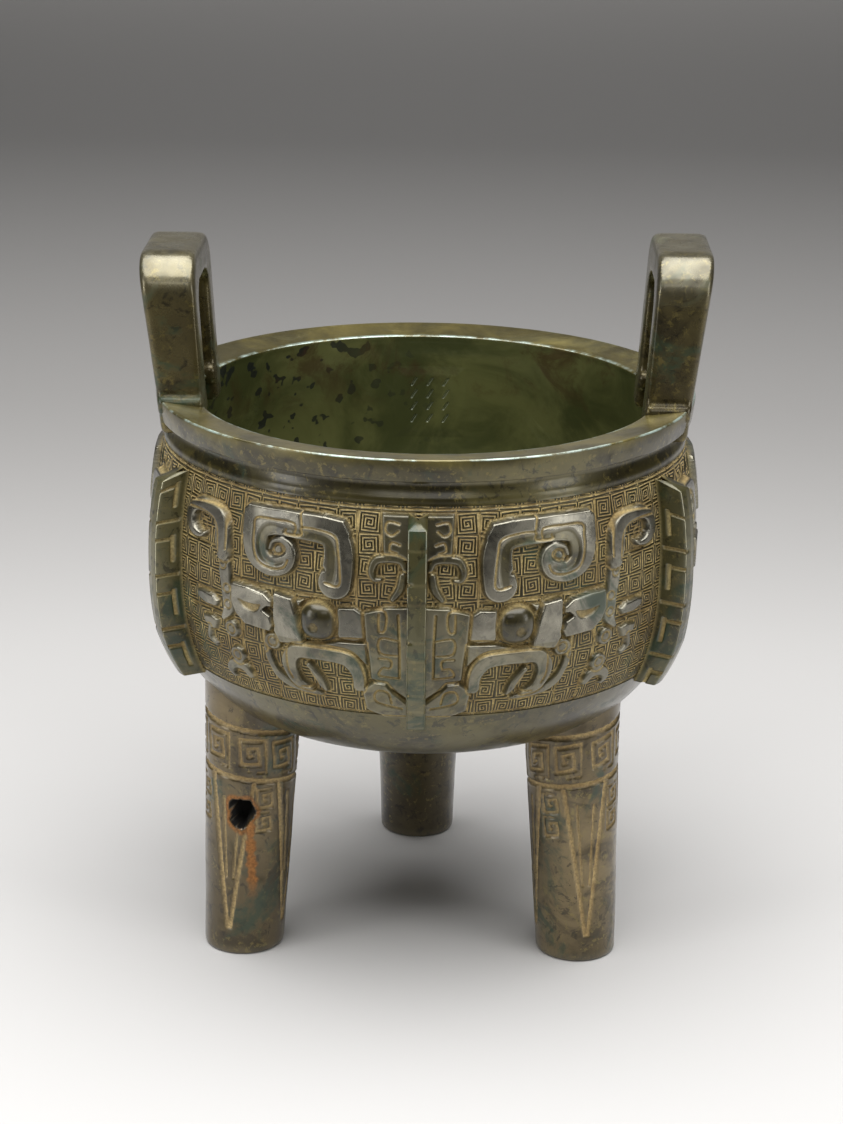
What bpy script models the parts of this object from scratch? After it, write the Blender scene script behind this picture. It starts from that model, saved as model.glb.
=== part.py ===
"""Bronze ding: a round three-legged cauldron of the late Shang kind.

The vessel is one casting: a deep bowl with a heavy flat lip, six hooked flanges, three
masks in relief between them, two loop handles on the lip and three round legs.
Metres, +Z up. The origin is on the ground under the bowl's axis; the front is -Y.
"""
import math

import bmesh
import bpy
from mathutils import Matrix, Vector

# Bowl and lip
RIM_RADIUS = 0.0960            # lip, outer edge
RIM_HEIGHT = 0.2025            # lip's top above the ground
LIP_WIDTH = 0.0145             # flat top of the lip, seen from above
LIP_EDGE = 0.0080              # height of the lip's outer edge
LIP_FALL = 0.0019              # the top falls this much towards the inside
LIP_OVERHANG = 0.0043          # lip beyond the neck
LIP_UNDERCUT = 0.0008          # the lip's edge leans in by this towards its foot
NECK_DROP = 0.0105             # the neck's narrowest place under the lip's top
BELLY_RADIUS = 0.0970
BELLY_HEIGHT = 0.1498
UNDERSIDE_HEIGHT = 0.0826
UNDERSIDE_FULLNESS = (2.13, 4.90)
NECK_CURVE = 2.3
MOUTH_CURVE = 1.5
WALL = 0.0056
INNER_LIFT = 0.0020            # the wall's inner face sits this much higher than its outer one
PANEL_TOP = 0.1858
PANEL_BOTTOM = 0.1114
AROUND = 48                    # facets round the bowl

# Flanges
FLANGE_COUNT = 6
HOOKED_FLANGES = (0.0, 60.0, 300.0)
FLANGE_THICKNESS = 0.0056
FLANGE_REACH = 0.0099          # how far the flange stands off the bowl
FLANGE_TOP = 0.1838
FLANGE_BOTTOM = 0.1090
FLANGE_TIP_OUT = 0.0010        # the top corner stands out by this
FLANGE_TIP_FALL = 0.0008       # and lies this much under the flange's top
FLANGE_FOOT_RISE = 0.0165      # height over which the foot draws in
FLANGE_FOOT_REACH = 0.0079     # what is left of the reach at the foot
FLANGE_SHOULDER = 0.0085       # the straight run to the top corner
GROOVE_WIDTH = 0.0013
GROOVE_DEPTH = 0.0008
NOTCH_COUNT = 3
NOTCH_PITCH = 0.0197
NOTCH_DROP = 0.0206            # first notch under the flange's top
NOTCH_GAP = 0.0006             # a notch stops this short of the bowl
HOOK_COUNT = 4
HOOK_RISE = 0.0130             # a hook's level above the notch under it
HOOK_STEM = 0.0038             # the hook's upright, out from the bowl
HOOK_DROP = 0.0075             # length of the hook's upright

# Legs
LEG_CIRCLE = 0.0704
LEG_SHIFT = -0.0025            # all three stand this far to the left of the bowl's axis
LEG_TOP_RADIUS = 0.0168
LEG_FOOT_RADIUS = 0.0144
LEG_LEAN = 0.0039              # the leg's top stands this much closer to the axis
LEG_TAPER_TOP = 0.0770
LEG_ROOT = 0.0400              # the leg runs on this far above the underside, inside the bowl
LEG_BEARINGS = (-60.0, 60.0, 180.0)
LEG_SIDES = 18
FOOT_ROUNDING = 0.0014
BAND_TOP = 0.0760
BAND_BOTTOM = 0.0690
BAND_PROUD = 0.0007
CARVED_LEGS = ((-60.0, 40.0), (60.0, -45.0))    # a leg, and its carving's middle round it
BLADE_LENGTH = 0.0560
BLADE_GAP = 0.0030             # the blades hang this far under the band
BLADE_SPREAD = 0.30            # half a blade's width at the top, as a share of the pitch
BLADE_TIP = 0.0012             # half a blade's width at its point
BLADES = 4
SPIRAL_SIZE = 0.0060
SPIRAL_TURN = 0.0020           # the spiral's last stroke stops this far short
SPIRAL_DROP = 0.0080           # first spiral's foot under the blades' top
SPIRAL_PITCH = 0.0090
SPIRAL_ROWS = 2
LEG_LINE_DEPTH = 0.0007
LEG_LINE_WIDTH = 0.0011
HOLE_SIZE = (0.0090, 0.0105)
HOLE_HEIGHT = 0.0562
HOLE_BEARING = 53.0            # degrees round the left leg from its outer side
CORE_RADIUS = 0.0090
CORE_SLOPE = 0.0036            # the core's ends are chamfered by this
CORE_BELOW = 0.0142            # the core's space under the hole's middle
CORE_ABOVE = 0.0118
CORE_SIDES = 12

# Handles
HANDLE_RISE = 0.0515           # handle's top above the lip
HANDLE_TOP = RIM_HEIGHT + HANDLE_RISE
HANDLE_WIDTH = 0.0576
HANDLE_THICKNESS = 0.0172
HANDLE_BAR = 0.0125            # bar's depth across the top of the loop
HANDLE_POST = 0.0118           # post's width beside the loop
HANDLE_CORNER = 0.0100
LOOP_CORNER = 0.0075
HANDLE_INSET = 0.0112          # middle of the handle's thickness, in from the lip's edge
HANDLE_FLARE = 0.0048
HANDLE_SINK = 0.0120

# Relief
RELIEF = 0.0022
LOW_RELIEF = 0.0013
RELIEF_ROOT = 0.0016
MASK_AXES = (0.0, 120.0, 240.0)
FRONT = MASK_AXES[0]           # the front mask has its smaller shapes too
EYE_RADIUS = 0.0062
EYE_HEIGHT = 0.0036
EYE_SIDES = 9
PUPIL_RADIUS = 0.0019
PUPIL_DEPTH = 0.0010

# The mask is drawn on a grid over half a panel: x counts from the mask's axis to the side
# flange, y counts down from a little above the panel's top rule.
GRID_WIDTH = 1309.0
GRID_TOP = 31.0
GRID_BOTTOM = 1000.0

# Strokes inside, at the back
STROKE_COLUMNS = 3
STROKE_ROWS = 4
STROKE_HEIGHT = 0.0035
STROKE_WIDTH = 0.0009
STROKE_DEPTH = 0.0005
STROKE_LEAN = 0.0010
STROKE_PITCH = (0.0062, 0.0052)
STROKE_DROP = 0.0195           # the top row under the lip's top

CUT_CLEAR = 0.0030             # cutting tools stand this far out of the surface
SHARP_ANGLE = 35.0
MERGE = 0.00001


def clear_scene():
    """Start from an empty scene."""
    for item in list(bpy.data.objects):
        bpy.data.objects.remove(item, do_unlink=True)


def new_collection(name):
    collection = bpy.data.collections.new(name)
    bpy.context.scene.collection.children.link(collection)
    return collection


def add_object(name, mesh, collection):
    item = bpy.data.objects.new(name, mesh)
    collection.objects.link(item)
    return item


def evaluated_mesh(item):
    """The object's evaluated mesh, welded, in its own coordinates."""
    bpy.context.view_layer.update()
    graph = bpy.context.evaluated_depsgraph_get()
    mesh = bpy.data.meshes.new_from_object(item.evaluated_get(graph))
    work = bmesh.new()
    work.from_mesh(mesh)
    bmesh.ops.remove_doubles(work, verts=work.verts, dist=MERGE)
    work.to_mesh(mesh)
    work.free()
    return mesh


def as_cutter(item):
    item.hide_render = True
    item.display_type = "WIRE"
    return item


def outline_solid(name, outline, low, high, collection):
    """A flat outline in XY given thickness along Z, from low to high."""
    curve = bpy.data.curves.new(name + "_outline", "CURVE")
    curve.dimensions = "2D"
    curve.fill_mode = "BOTH"
    curve.extrude = (high - low) / 2
    spline = curve.splines.new("POLY")
    spline.points.add(len(outline) - 1)
    for point, (x, y) in zip(spline.points, outline):
        point.co = (x, y, 0.0, 1.0)
    spline.use_cyclic_u = True
    source = add_object(name + "_curve", curve, collection)
    mesh = evaluated_mesh(source)
    mesh.name = name
    bpy.data.objects.remove(source, do_unlink=True)
    mesh.transform(Matrix.Translation((0.0, 0.0, (high + low) / 2)))
    return add_object(name, mesh, collection)


def turned(name, profile, sides, collection):
    """A solid of revolution; the profile runs down its outer side, top to bottom."""
    mesh = bpy.data.meshes.new(name)
    points = [(radius, 0.0, height) for radius, height in profile]
    mesh.from_pydata(points, [(k, k + 1) for k in range(len(points) - 1)], [])
    source = add_object(name + "_profile", mesh, collection)
    screw = source.modifiers.new("Turn", "SCREW")
    screw.steps = sides
    screw.render_steps = sides
    screw.use_merge_vertices = True
    screw.merge_threshold = MERGE
    result = evaluated_mesh(source)
    result.name = name
    bpy.data.objects.remove(source, do_unlink=True)
    return add_object(name, result, collection)


def bake(item):
    """Replace an object's mesh by its evaluated one and drop the modifiers."""
    mesh = evaluated_mesh(item)
    item.modifiers.clear()
    item.data = mesh


def combine(item, tool, operation, crossing=False):
    """Boolean of one tool on the item; crossing says that the tool's solids meet each other."""
    cut = item.modifiers.new(operation.title(), "BOOLEAN")
    cut.operation = operation
    cut.solver = "EXACT"
    cut.use_self = crossing
    cut.object = as_cutter(tool)
    bake(item)


def joined(name, items, collection):
    """Several separate solids as one object."""
    work = bmesh.new()
    for item in items:
        mesh = item.data.copy()
        mesh.transform(item.matrix_world)
        work.from_mesh(mesh)
        bpy.data.meshes.remove(mesh)
        bpy.data.objects.remove(item, do_unlink=True)
    mesh = bpy.data.meshes.new(name)
    work.to_mesh(mesh)
    work.free()
    return add_object(name, mesh, collection)


def map_points(item, rule):
    for vertex in item.data.vertices:
        vertex.co = rule(*vertex.co)
    item.data.update()
    return item


def face_outward(item):
    work = bmesh.new()
    work.from_mesh(item.data)
    bmesh.ops.recalc_face_normals(work, faces=work.faces)
    work.to_mesh(item.data)
    work.free()
    return item


def ribbon(points):
    """Closed outline of a band; each point is (x, y, half width)."""
    left, right = [], []
    for k, (x, y, half) in enumerate(points):
        before = points[max(k - 1, 0)]
        after = points[min(k + 1, len(points) - 1)]
        run = Vector((after[0] - before[0], after[1] - before[1])).normalized()
        left.append((x - run.y * half, y + run.x * half))
        right.append((x + run.y * half, y - run.x * half))
    return left + right[::-1]


def neck_radius():
    return RIM_RADIUS - LIP_OVERHANG


def bowl_radius(height):
    """Outer radius of the bowl at a height."""
    if height <= BELLY_HEIGHT:
        drop = min((BELLY_HEIGHT - height) / (BELLY_HEIGHT - UNDERSIDE_HEIGHT), 1.0)
        power, root = UNDERSIDE_FULLNESS
        return BELLY_RADIUS * (1 - drop ** power) ** (1 / root)
    rise = min((height - BELLY_HEIGHT) / (RIM_HEIGHT - NECK_DROP - BELLY_HEIGHT), 1.0)
    return BELLY_RADIUS - (BELLY_RADIUS - neck_radius()) * rise ** NECK_CURVE


def bowl_heights():
    """Levels of the outer profile from the neck down to near the underside."""
    neck = RIM_HEIGHT - NECK_DROP
    depth = BELLY_HEIGHT - UNDERSIDE_HEIGHT
    levels = [neck - (neck - BELLY_HEIGHT) * share for share in (0.0, 0.2, 0.45, 1.0)]
    levels += [BELLY_HEIGHT - depth * share for share in (0.3, 0.55, 0.75, 0.88, 0.96)]
    return levels


def make_body(collection):
    """The outside of bowl and lip, as a filled form."""
    lip_low = RIM_HEIGHT - LIP_EDGE
    profile = [(0.0, RIM_HEIGHT - LIP_FALL)]
    profile.append((RIM_RADIUS - LIP_WIDTH, RIM_HEIGHT - LIP_FALL))
    profile.append((RIM_RADIUS, RIM_HEIGHT))
    profile.append((RIM_RADIUS - LIP_UNDERCUT, lip_low))
    profile += [(bowl_radius(level), level) for level in bowl_heights()]
    profile.append((0.0, UNDERSIDE_HEIGHT))
    return turned("body", profile, AROUND, collection)


def inner_radius(height):
    """Inner radius: the wall below, closing in to the lip's inner edge above."""
    mouth = RIM_RADIUS - LIP_WIDTH
    wall = bowl_radius(height - INNER_LIFT) - WALL
    if height <= BELLY_HEIGHT:
        return wall
    rise = (height - BELLY_HEIGHT) / (RIM_HEIGHT - BELLY_HEIGHT)
    return wall + (mouth - wall) * rise ** MOUTH_CURVE


def make_hollow(collection):
    """What the bowl holds, cut out of the filled form."""
    mouth = RIM_RADIUS - LIP_WIDTH
    floor = UNDERSIDE_HEIGHT + WALL
    depth = BELLY_HEIGHT - floor
    above = RIM_HEIGHT + LIP_EDGE
    profile = [(0.0, above), (mouth, above)]
    profile.append((mouth, RIM_HEIGHT - LIP_FALL))
    for share in (0.35, 0.7):
        level = RIM_HEIGHT - (RIM_HEIGHT - BELLY_HEIGHT) * share
        profile.append((inner_radius(level), level))
    power, root = UNDERSIDE_FULLNESS
    for share in (0.0, 0.4, 0.68, 0.86, 0.96):
        radius = (BELLY_RADIUS - WALL) * (1 - share ** power) ** (1 / root)
        profile.append((radius, BELLY_HEIGHT - depth * share))
    profile.append((0.0, floor))
    return turned("hollow", profile, AROUND, collection)


def on_panel(outline):
    """Drawing-grid points as metres along the belly and down from the panel's top."""
    across = BELLY_RADIUS * math.radians(60.0) / GRID_WIDTH
    down = (PANEL_TOP - PANEL_BOTTOM) / (GRID_BOTTOM - GRID_TOP)
    return [(x * across, (y - GRID_TOP) * down) for x, y in outline]


def panel_to_bowl(axis, side):
    """A rule that lays panel points on the bowl beside a mask's axis, in degrees."""
    def rule(x, y, proud):
        height = PANEL_TOP - y
        bearing = math.radians(axis) + side * x / BELLY_RADIUS
        radius = bowl_radius(height) + proud
        return Vector((radius * math.sin(bearing), -radius * math.cos(bearing), height))
    return rule


def plate(name, outline, relief, axis, side, collection):
    """One raised shape of a mask, laid on the bowl with its root in the wall."""
    item = outline_solid(name, on_panel(outline), -RELIEF_ROOT, relief, collection)
    map_points(item, panel_to_bowl(axis, side))
    return face_outward(item)


def disc(centre, radius, sides):
    return [(centre[0] + radius * math.cos(math.tau * k / sides),
             centre[1] + radius * math.sin(math.tau * k / sides)) for k in range(sides)]


def eye(axis, side, collection):
    """A domed eyeball with a sunk pupil."""
    rim = EYE_RADIUS
    profile = [(0.0, EYE_HEIGHT - PUPIL_DEPTH), (PUPIL_RADIUS, EYE_HEIGHT - PUPIL_DEPTH)]
    profile += [(PUPIL_RADIUS, EYE_HEIGHT), (rim * 0.62, EYE_HEIGHT * 0.93)]
    profile += [(rim, EYE_HEIGHT * 0.45), (rim, -RELIEF_ROOT), (0.0, -RELIEF_ROOT)]
    item = turned("eye", profile, EYE_SIDES, collection)
    centre_x, centre_y = on_panel([EYE_CENTRE])[0]
    lay = panel_to_bowl(axis, side)
    map_points(item, lambda x, y, z: lay(centre_x + x, centre_y + y, z))
    return face_outward(item)


# Drawing of half a mask, in grid steps; ribbons are (x, y, half width)
EYE_CENTRE = (430, 560)
HORN = [(360, 440, 70), (340, 345, 74), (334, 225, 70), (368, 168, 64), (430, 148, 62),
        (530, 145, 60), (640, 146, 60), (720, 168, 66), (742, 235, 66), (724, 305, 56),
        (660, 342, 45), (592, 326, 40), (560, 285, 28), (580, 240, 14)]
JAW = [(252, 850, 26), (256, 780, 33), (296, 726, 34), (370, 711, 33), (460, 710, 33),
       (538, 716, 35), (574, 765, 36), (568, 820, 30), (540, 868, 22), (482, 892, 10)]
FANG = [(478, 775, 10), (458, 815, 13), (432, 848, 14), (402, 885, 5)]
LIP_LINE = [(692, 705, 9), (684, 780, 14), (648, 852, 15), (575, 895, 14), (440, 912, 8)]
BROW_BAND = [(70, 262, 15), (120, 254, 17), (176, 264, 18), (196, 312, 16), (160, 346, 8)]
BROW_HOOK = [(62, 326, 16), (72, 385, 18), (104, 432, 12)]
SIDE_BODY = [(925, 345, 36), (932, 290, 42), (942, 220, 42), (975, 178, 38), (1050, 163, 30),
             (1120, 168, 30), (1160, 215, 30), (1150, 275, 24), (1070, 294, 10)]
SIDE_STEM = [(925, 345, 34), (914, 480, 32), (905, 600, 30), (935, 645, 16)]
EYE_PLATE = [(232, 505), (268, 482), (342, 488), (352, 560), (338, 632), (222, 620)]
CHEEK = [(548, 470), (640, 458), (642, 560), (640, 640), (612, 690), (500, 680), (512, 600)]
EAR = [(646, 505), (690, 472), (868, 460), (872, 545), (795, 640), (660, 648), (640, 610),
       (692, 552), (648, 532)]
SNOUT = [(58, 1018), (58, 938), (98, 870), (132, 828), (184, 822), (240, 862), (226, 968),
         (130, 1012)]
NOSE = [(66, 465), (130, 470), (228, 500), (218, 640), (200, 810), (66, 900)]
CROWN = [(62, 262), (62, 62), (158, 62), (146, 245), (80, 262)]
LENS = [(965, 582), (1000, 558), (1120, 560), (1110, 596), (985, 610)]
VOLUTES = [((890, 690), 42), ((1024, 690), 42), ((872, 895), 48)]


def half_mask(axis, side, fine, collection):
    """The raised shapes of one half of a mask; fine adds the smaller ones."""
    shapes = [(ribbon(HORN), RELIEF), (ribbon(JAW), RELIEF), (ribbon(SIDE_BODY), RELIEF)]
    shapes += [(CHEEK, RELIEF), (EAR, RELIEF), (SNOUT, RELIEF), (NOSE, LOW_RELIEF)]
    if fine:
        shapes += [(ribbon(FANG), RELIEF), (ribbon(LIP_LINE), LOW_RELIEF)]
        shapes += [(ribbon(band), LOW_RELIEF) for band in (BROW_BAND, BROW_HOOK, SIDE_STEM)]
        shapes += [(CROWN, LOW_RELIEF), (LENS, LOW_RELIEF), (EYE_PLATE, LOW_RELIEF)]
        shapes += [(disc(centre, radius, 8), LOW_RELIEF) for centre, radius in VOLUTES]
    plates = [plate("relief", outline, relief, axis, side, collection)
              for outline, relief in shapes]
    plates.append(eye(axis, side, collection))
    return plates


def flange_outline():
    """Side view of a flange: x outward from the bowl's axis, y up."""
    levels = [FLANGE_BOTTOM + FLANGE_FOOT_RISE, BELLY_HEIGHT, FLANGE_TOP - FLANGE_SHOULDER]
    outer = [(bowl_radius(FLANGE_BOTTOM) + FLANGE_FOOT_REACH, FLANGE_BOTTOM)]
    outer += [(bowl_radius(level) + FLANGE_REACH, level) for level in levels]
    tip = bowl_radius(FLANGE_TOP) + FLANGE_REACH + FLANGE_TIP_OUT
    outer.append((tip, FLANGE_TOP - FLANGE_TIP_FALL))
    root = WALL * 0.5
    inner = [(bowl_radius(level) - root, level) for level in (FLANGE_TOP, BELLY_HEIGHT)]
    inner.append((bowl_radius(FLANGE_BOTTOM) - root, FLANGE_BOTTOM))
    return outer + inner


def make_flange(bearing, collection):
    item = outline_solid("flange", flange_outline(), -FLANGE_THICKNESS / 2,
                         FLANGE_THICKNESS / 2, collection)
    return stand_radially(item, bearing)


def stand_radially(item, bearing):
    """Turn a side-view outline (x outward, y up, z across) to a bearing round the axis."""
    angle = math.radians(bearing)
    out = Vector((math.sin(angle), -math.cos(angle), 0.0))
    across = Vector((math.cos(angle), math.sin(angle), 0.0))
    map_points(item, lambda x, y, z: out * x + across * z + Vector((0.0, 0.0, y)))
    return face_outward(item)


def rectangle(left, right, low, high):
    return [(left, low), (right, low), (right, high), (left, high)]


def flange_grooves(bearing, hooks, collection):
    """Sunk lines on both faces of a flange: full notches, and hooks between them."""
    cuts = []
    face = FLANGE_THICKNESS / 2
    half = GROOVE_WIDTH / 2
    first = FLANGE_TOP - NOTCH_DROP
    for side in (-1, 1):
        low = face - GROOVE_DEPTH if side > 0 else -face - CUT_CLEAR
        high = face + CUT_CLEAR if side > 0 else -face + GROOVE_DEPTH
        for k in range(NOTCH_COUNT):
            level = first - k * NOTCH_PITCH
            skin = bowl_radius(level)
            end = skin + FLANGE_REACH + CUT_CLEAR
            shape = rectangle(skin + NOTCH_GAP, end, level - half, level + half)
            cuts.append(outline_solid("notch", shape, low, high, collection))
        for k in range(HOOK_COUNT if hooks else 0):
            level = first + HOOK_RISE - k * NOTCH_PITCH
            stem = bowl_radius(level) + HOOK_STEM
            end = bowl_radius(level) + FLANGE_REACH + CUT_CLEAR
            drop = level - HOOK_DROP
            shape = [(end, level - half), (end, level + half), (stem - half, level + half),
                     (stem - half, drop), (stem + half, drop), (stem + half, level - half)]
            cuts.append(outline_solid("hook", shape, low, high, collection))
    return [stand_radially(cut, bearing) for cut in cuts]


def leg_axis(bearing, height):
    """Centre of a leg at a height."""
    angle = math.radians(bearing)
    circle = LEG_CIRCLE - LEG_LEAN * height / LEG_TAPER_TOP
    return Vector((circle * math.sin(angle) + LEG_SHIFT, -circle * math.cos(angle), 0.0))


def leg_radius(height):
    return LEG_FOOT_RADIUS + (LEG_TOP_RADIUS - LEG_FOOT_RADIUS) * height / LEG_TAPER_TOP


def make_leg(bearing, collection):
    top = UNDERSIDE_HEIGHT + LEG_ROOT
    levels = [(top, 0.0), (BAND_TOP + BAND_PROUD, 0.0), (BAND_TOP, BAND_PROUD)]
    levels += [(BAND_BOTTOM, BAND_PROUD), (BAND_BOTTOM - BAND_PROUD, 0.0), (FOOT_ROUNDING, 0.0)]
    profile = [(0.0, top)]
    profile += [(leg_radius(min(level, LEG_TAPER_TOP)) + proud, level) for level, proud in levels]
    profile += [(leg_radius(0.0) - FOOT_ROUNDING, 0.0), (0.0, 0.0)]
    item = turned("leg", profile, LEG_SIDES, collection)
    map_points(item, lambda x, y, z: Vector((x, y, z)) + leg_axis(bearing, min(z, LEG_TAPER_TOP)))
    return item


def around_leg(bearing, middle):
    """A rule that lays a flat drawing (x round the leg, y up) on a leg's skin."""
    def rule(x, y, depth):
        height = min(max(y, 0.0), LEG_TAPER_TOP)
        radius = leg_radius(height)
        angle = math.radians(bearing + middle) + x / LEG_TOP_RADIUS
        skin = Vector((math.sin(angle), -math.cos(angle), 0.0)) * (radius + depth)
        return leg_axis(bearing, height) + skin + Vector((0.0, 0.0, y))
    return rule


def leg_carving(bearing, middle, collection):
    """Sunk outlines of hanging blades under the band, and square spirals between them."""
    cuts = []
    lay = around_leg(bearing, middle)
    pitch = math.tau * LEG_TOP_RADIUS / BLADES
    top = BAND_BOTTOM - BLADE_GAP
    point = top - BLADE_LENGTH
    width = LEG_LINE_WIDTH
    low = -LEG_LINE_DEPTH
    for k in (-1, 0, 1):
        centre = k * pitch
        for side in (-1, 1):
            edge = centre + side * pitch * BLADE_SPREAD
            tip = centre + side * BLADE_TIP
            line = [(edge, top), (edge + width, top), (tip + width, point), (tip, point)]
            cuts.append(outline_solid("blade_line", line, low, CUT_CLEAR, collection))
        for row in range(SPIRAL_ROWS if k < 1 else 0):
            base = top - SPIRAL_DROP - row * SPIRAL_PITCH
            left = centre + (pitch - SPIRAL_SIZE) / 2
            right = left + SPIRAL_SIZE
            head = base + SPIRAL_SIZE
            turn = left + SPIRAL_TURN
            hook = [(left, base), (right, base), (right, head), (turn, head),
                    (turn, head - width), (right - width, head - width),
                    (right - width, base + width), (left, base + width)]
            cuts.append(outline_solid("leg_spiral", hook, low, CUT_CLEAR, collection))
    for cut in cuts:
        map_points(cut, lay)
        face_outward(cut)
    return cuts


def leg_hole(bearing, collection):
    """The broken hole in the left leg and the core space behind it."""
    width, height = HOLE_SIZE
    outline = [(-0.50, 0.18), (-0.30, 0.45), (0.08, 0.40), (0.22, 0.52), (0.50, 0.30),
               (0.42, -0.12), (0.20, -0.50), (-0.16, -0.42), (-0.44, -0.20)]
    shape = [(x * width, HOLE_HEIGHT + y * height) for x, y in outline]
    angle = math.radians(bearing + HOLE_BEARING)
    out = Vector((math.sin(angle), -math.cos(angle), 0.0))
    across = Vector((math.cos(angle), math.sin(angle), 0.0))
    centre = leg_axis(bearing, HOLE_HEIGHT)
    reach = LEG_TOP_RADIUS + CUT_CLEAR
    mouth = outline_solid("hole", shape, CORE_RADIUS - CORE_SLOPE * 2, reach, collection)
    map_points(mouth, lambda x, y, z: centre + across * x + out * z + Vector((0.0, 0.0, y)))
    low, high = HOLE_HEIGHT - CORE_BELOW, HOLE_HEIGHT + CORE_ABOVE
    end = CORE_RADIUS - CORE_SLOPE
    profile = [(0.0, high), (end, high), (CORE_RADIUS, high - CORE_SLOPE)]
    profile += [(CORE_RADIUS, low + CORE_SLOPE), (end, low), (0.0, low)]
    core = turned("core", profile, CORE_SIDES, collection)
    map_points(core, lambda x, y, z: Vector((x, y, z)) + leg_axis(bearing, z))
    return face_outward(mouth), core


def arc(centre, radius, start, end, steps):
    return [(centre[0] + radius * math.cos(math.radians(start + (end - start) * k / steps)),
             centre[1] + radius * math.sin(math.radians(start + (end - start) * k / steps)))
            for k in range(steps + 1)]


def handle_outline():
    """Front view of a handle: an upturned U whose posts run down into the lip."""
    half = HANDLE_WIDTH / 2
    top = HANDLE_TOP
    low = RIM_HEIGHT - HANDLE_SINK
    outer = arc((half - HANDLE_CORNER, top - HANDLE_CORNER), HANDLE_CORNER, 0, 90, 5)
    outer += arc((HANDLE_CORNER - half, top - HANDLE_CORNER), HANDLE_CORNER, 90, 180, 4)
    inside = half - HANDLE_POST
    ceiling = top - HANDLE_BAR - LOOP_CORNER
    inner = arc((LOOP_CORNER - inside, ceiling), LOOP_CORNER, 180, 90, 4)
    inner += arc((inside - LOOP_CORNER, ceiling), LOOP_CORNER, 90, 0, 4)
    return [(half, low)] + outer + [(-half, low), (-inside, low)] + inner + [(inside, low)]


def make_handle(side, collection):
    item = outline_solid("handle", handle_outline(), -HANDLE_THICKNESS / 2,
                         HANDLE_THICKNESS / 2, collection)

    def rule(x, y, z):
        rise = (y - RIM_HEIGHT) / (HANDLE_TOP - RIM_HEIGHT)
        out = RIM_RADIUS - HANDLE_INSET + HANDLE_FLARE * rise + z
        return Vector((side * out, x, y))
    map_points(item, rule)
    return face_outward(item)


def strokes(collection):
    """Rows of shallow slanting strokes inside the bowl, on the back wall."""
    cuts = []
    across, down = STROKE_PITCH
    half = STROKE_WIDTH / 2
    for column in range(STROKE_COLUMNS):
        for row in range(STROKE_ROWS):
            middle = (column - (STROKE_COLUMNS - 1) / 2) * across
            top = RIM_HEIGHT - STROKE_DROP - row * down
            foot = top - STROKE_HEIGHT
            radius = inner_radius((top + foot) / 2)
            left, right = middle - half, middle + half
            shape = [(left - STROKE_LEAN, foot), (right - STROKE_LEAN, foot),
                     (right + STROKE_LEAN, top), (left + STROKE_LEAN, top)]
            cut = outline_solid("stroke", shape, -CUT_CLEAR, STROKE_DEPTH, collection)
            map_points(cut, lambda x, y, z, r=radius: Vector((x, r + z, y)))
            cuts.append(face_outward(cut))
    return cuts


def bronze():
    material = bpy.data.materials.new("patinated_bronze")
    material.use_nodes = True
    shader = material.node_tree.nodes["Principled BSDF"]
    shader.inputs["Base Color"].default_value = (0.095, 0.088, 0.045, 1.0)
    shader.inputs["Roughness"].default_value = 0.38
    shader.inputs["Metallic"].default_value = 0.45
    return material


def build():
    clear_scene()
    vessel_collection = new_collection("bronze_ding_vessel")
    tools = new_collection("cutters")
    vessel = make_body(tools)

    for bearing in LEG_BEARINGS:
        combine(vessel, make_leg(bearing, tools), "UNION")

    flange_bearings = [k * 360.0 / FLANGE_COUNT for k in range(FLANGE_COUNT)]
    flanges = joined("flanges", [make_flange(b, tools) for b in flange_bearings], tools)
    combine(vessel, flanges, "UNION")

    plates = []
    for axis in MASK_AXES:
        for side in (-1, 1):
            plates += half_mask(axis, side, axis == FRONT, tools)
    combine(vessel, joined("relief", plates, tools), "UNION", crossing=True)

    mouth, core = leg_hole(LEG_BEARINGS[0], tools)
    combine(core, mouth, "UNION")
    combine(vessel, core, "DIFFERENCE")

    grooves = []
    for bearing in flange_bearings:
        grooves += flange_grooves(bearing, bearing in HOOKED_FLANGES, tools)
    for bearing, middle in CARVED_LEGS:
        grooves += leg_carving(bearing, middle, tools)
    combine(vessel, joined("grooves", grooves, tools), "DIFFERENCE", crossing=True)

    combine(vessel, make_hollow(tools), "DIFFERENCE")
    combine(vessel, joined("strokes", strokes(tools), tools), "DIFFERENCE")
    for side in (-1, 1):
        combine(vessel, make_handle(side, tools), "UNION")

    tools.objects.unlink(vessel)
    vessel_collection.objects.link(vessel)
    vessel.name = "bronze_ding"
    vessel.hide_render = False
    vessel.display_type = "TEXTURED"
    vessel.data.materials.clear()
    vessel.data.materials.append(bronze())
    vessel.data.shade_smooth()
    vessel.data.set_sharp_from_angle(angle=math.radians(SHARP_ANGLE))


build()
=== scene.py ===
import math

import bpy
import numpy as np
from mathutils import Matrix, Vector


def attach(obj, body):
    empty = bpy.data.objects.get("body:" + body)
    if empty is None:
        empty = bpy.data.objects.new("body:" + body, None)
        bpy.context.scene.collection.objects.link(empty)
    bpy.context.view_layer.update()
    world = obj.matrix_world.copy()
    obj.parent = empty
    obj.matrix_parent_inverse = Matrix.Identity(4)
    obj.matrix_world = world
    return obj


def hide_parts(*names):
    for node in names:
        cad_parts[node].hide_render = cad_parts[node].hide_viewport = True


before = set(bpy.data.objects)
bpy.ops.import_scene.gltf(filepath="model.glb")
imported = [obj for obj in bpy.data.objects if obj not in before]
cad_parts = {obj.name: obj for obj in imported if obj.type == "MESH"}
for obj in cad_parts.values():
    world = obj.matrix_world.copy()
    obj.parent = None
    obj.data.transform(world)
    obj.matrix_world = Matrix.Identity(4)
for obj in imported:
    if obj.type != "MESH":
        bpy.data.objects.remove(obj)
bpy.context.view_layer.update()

NODE = "bronze_ding"

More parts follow.
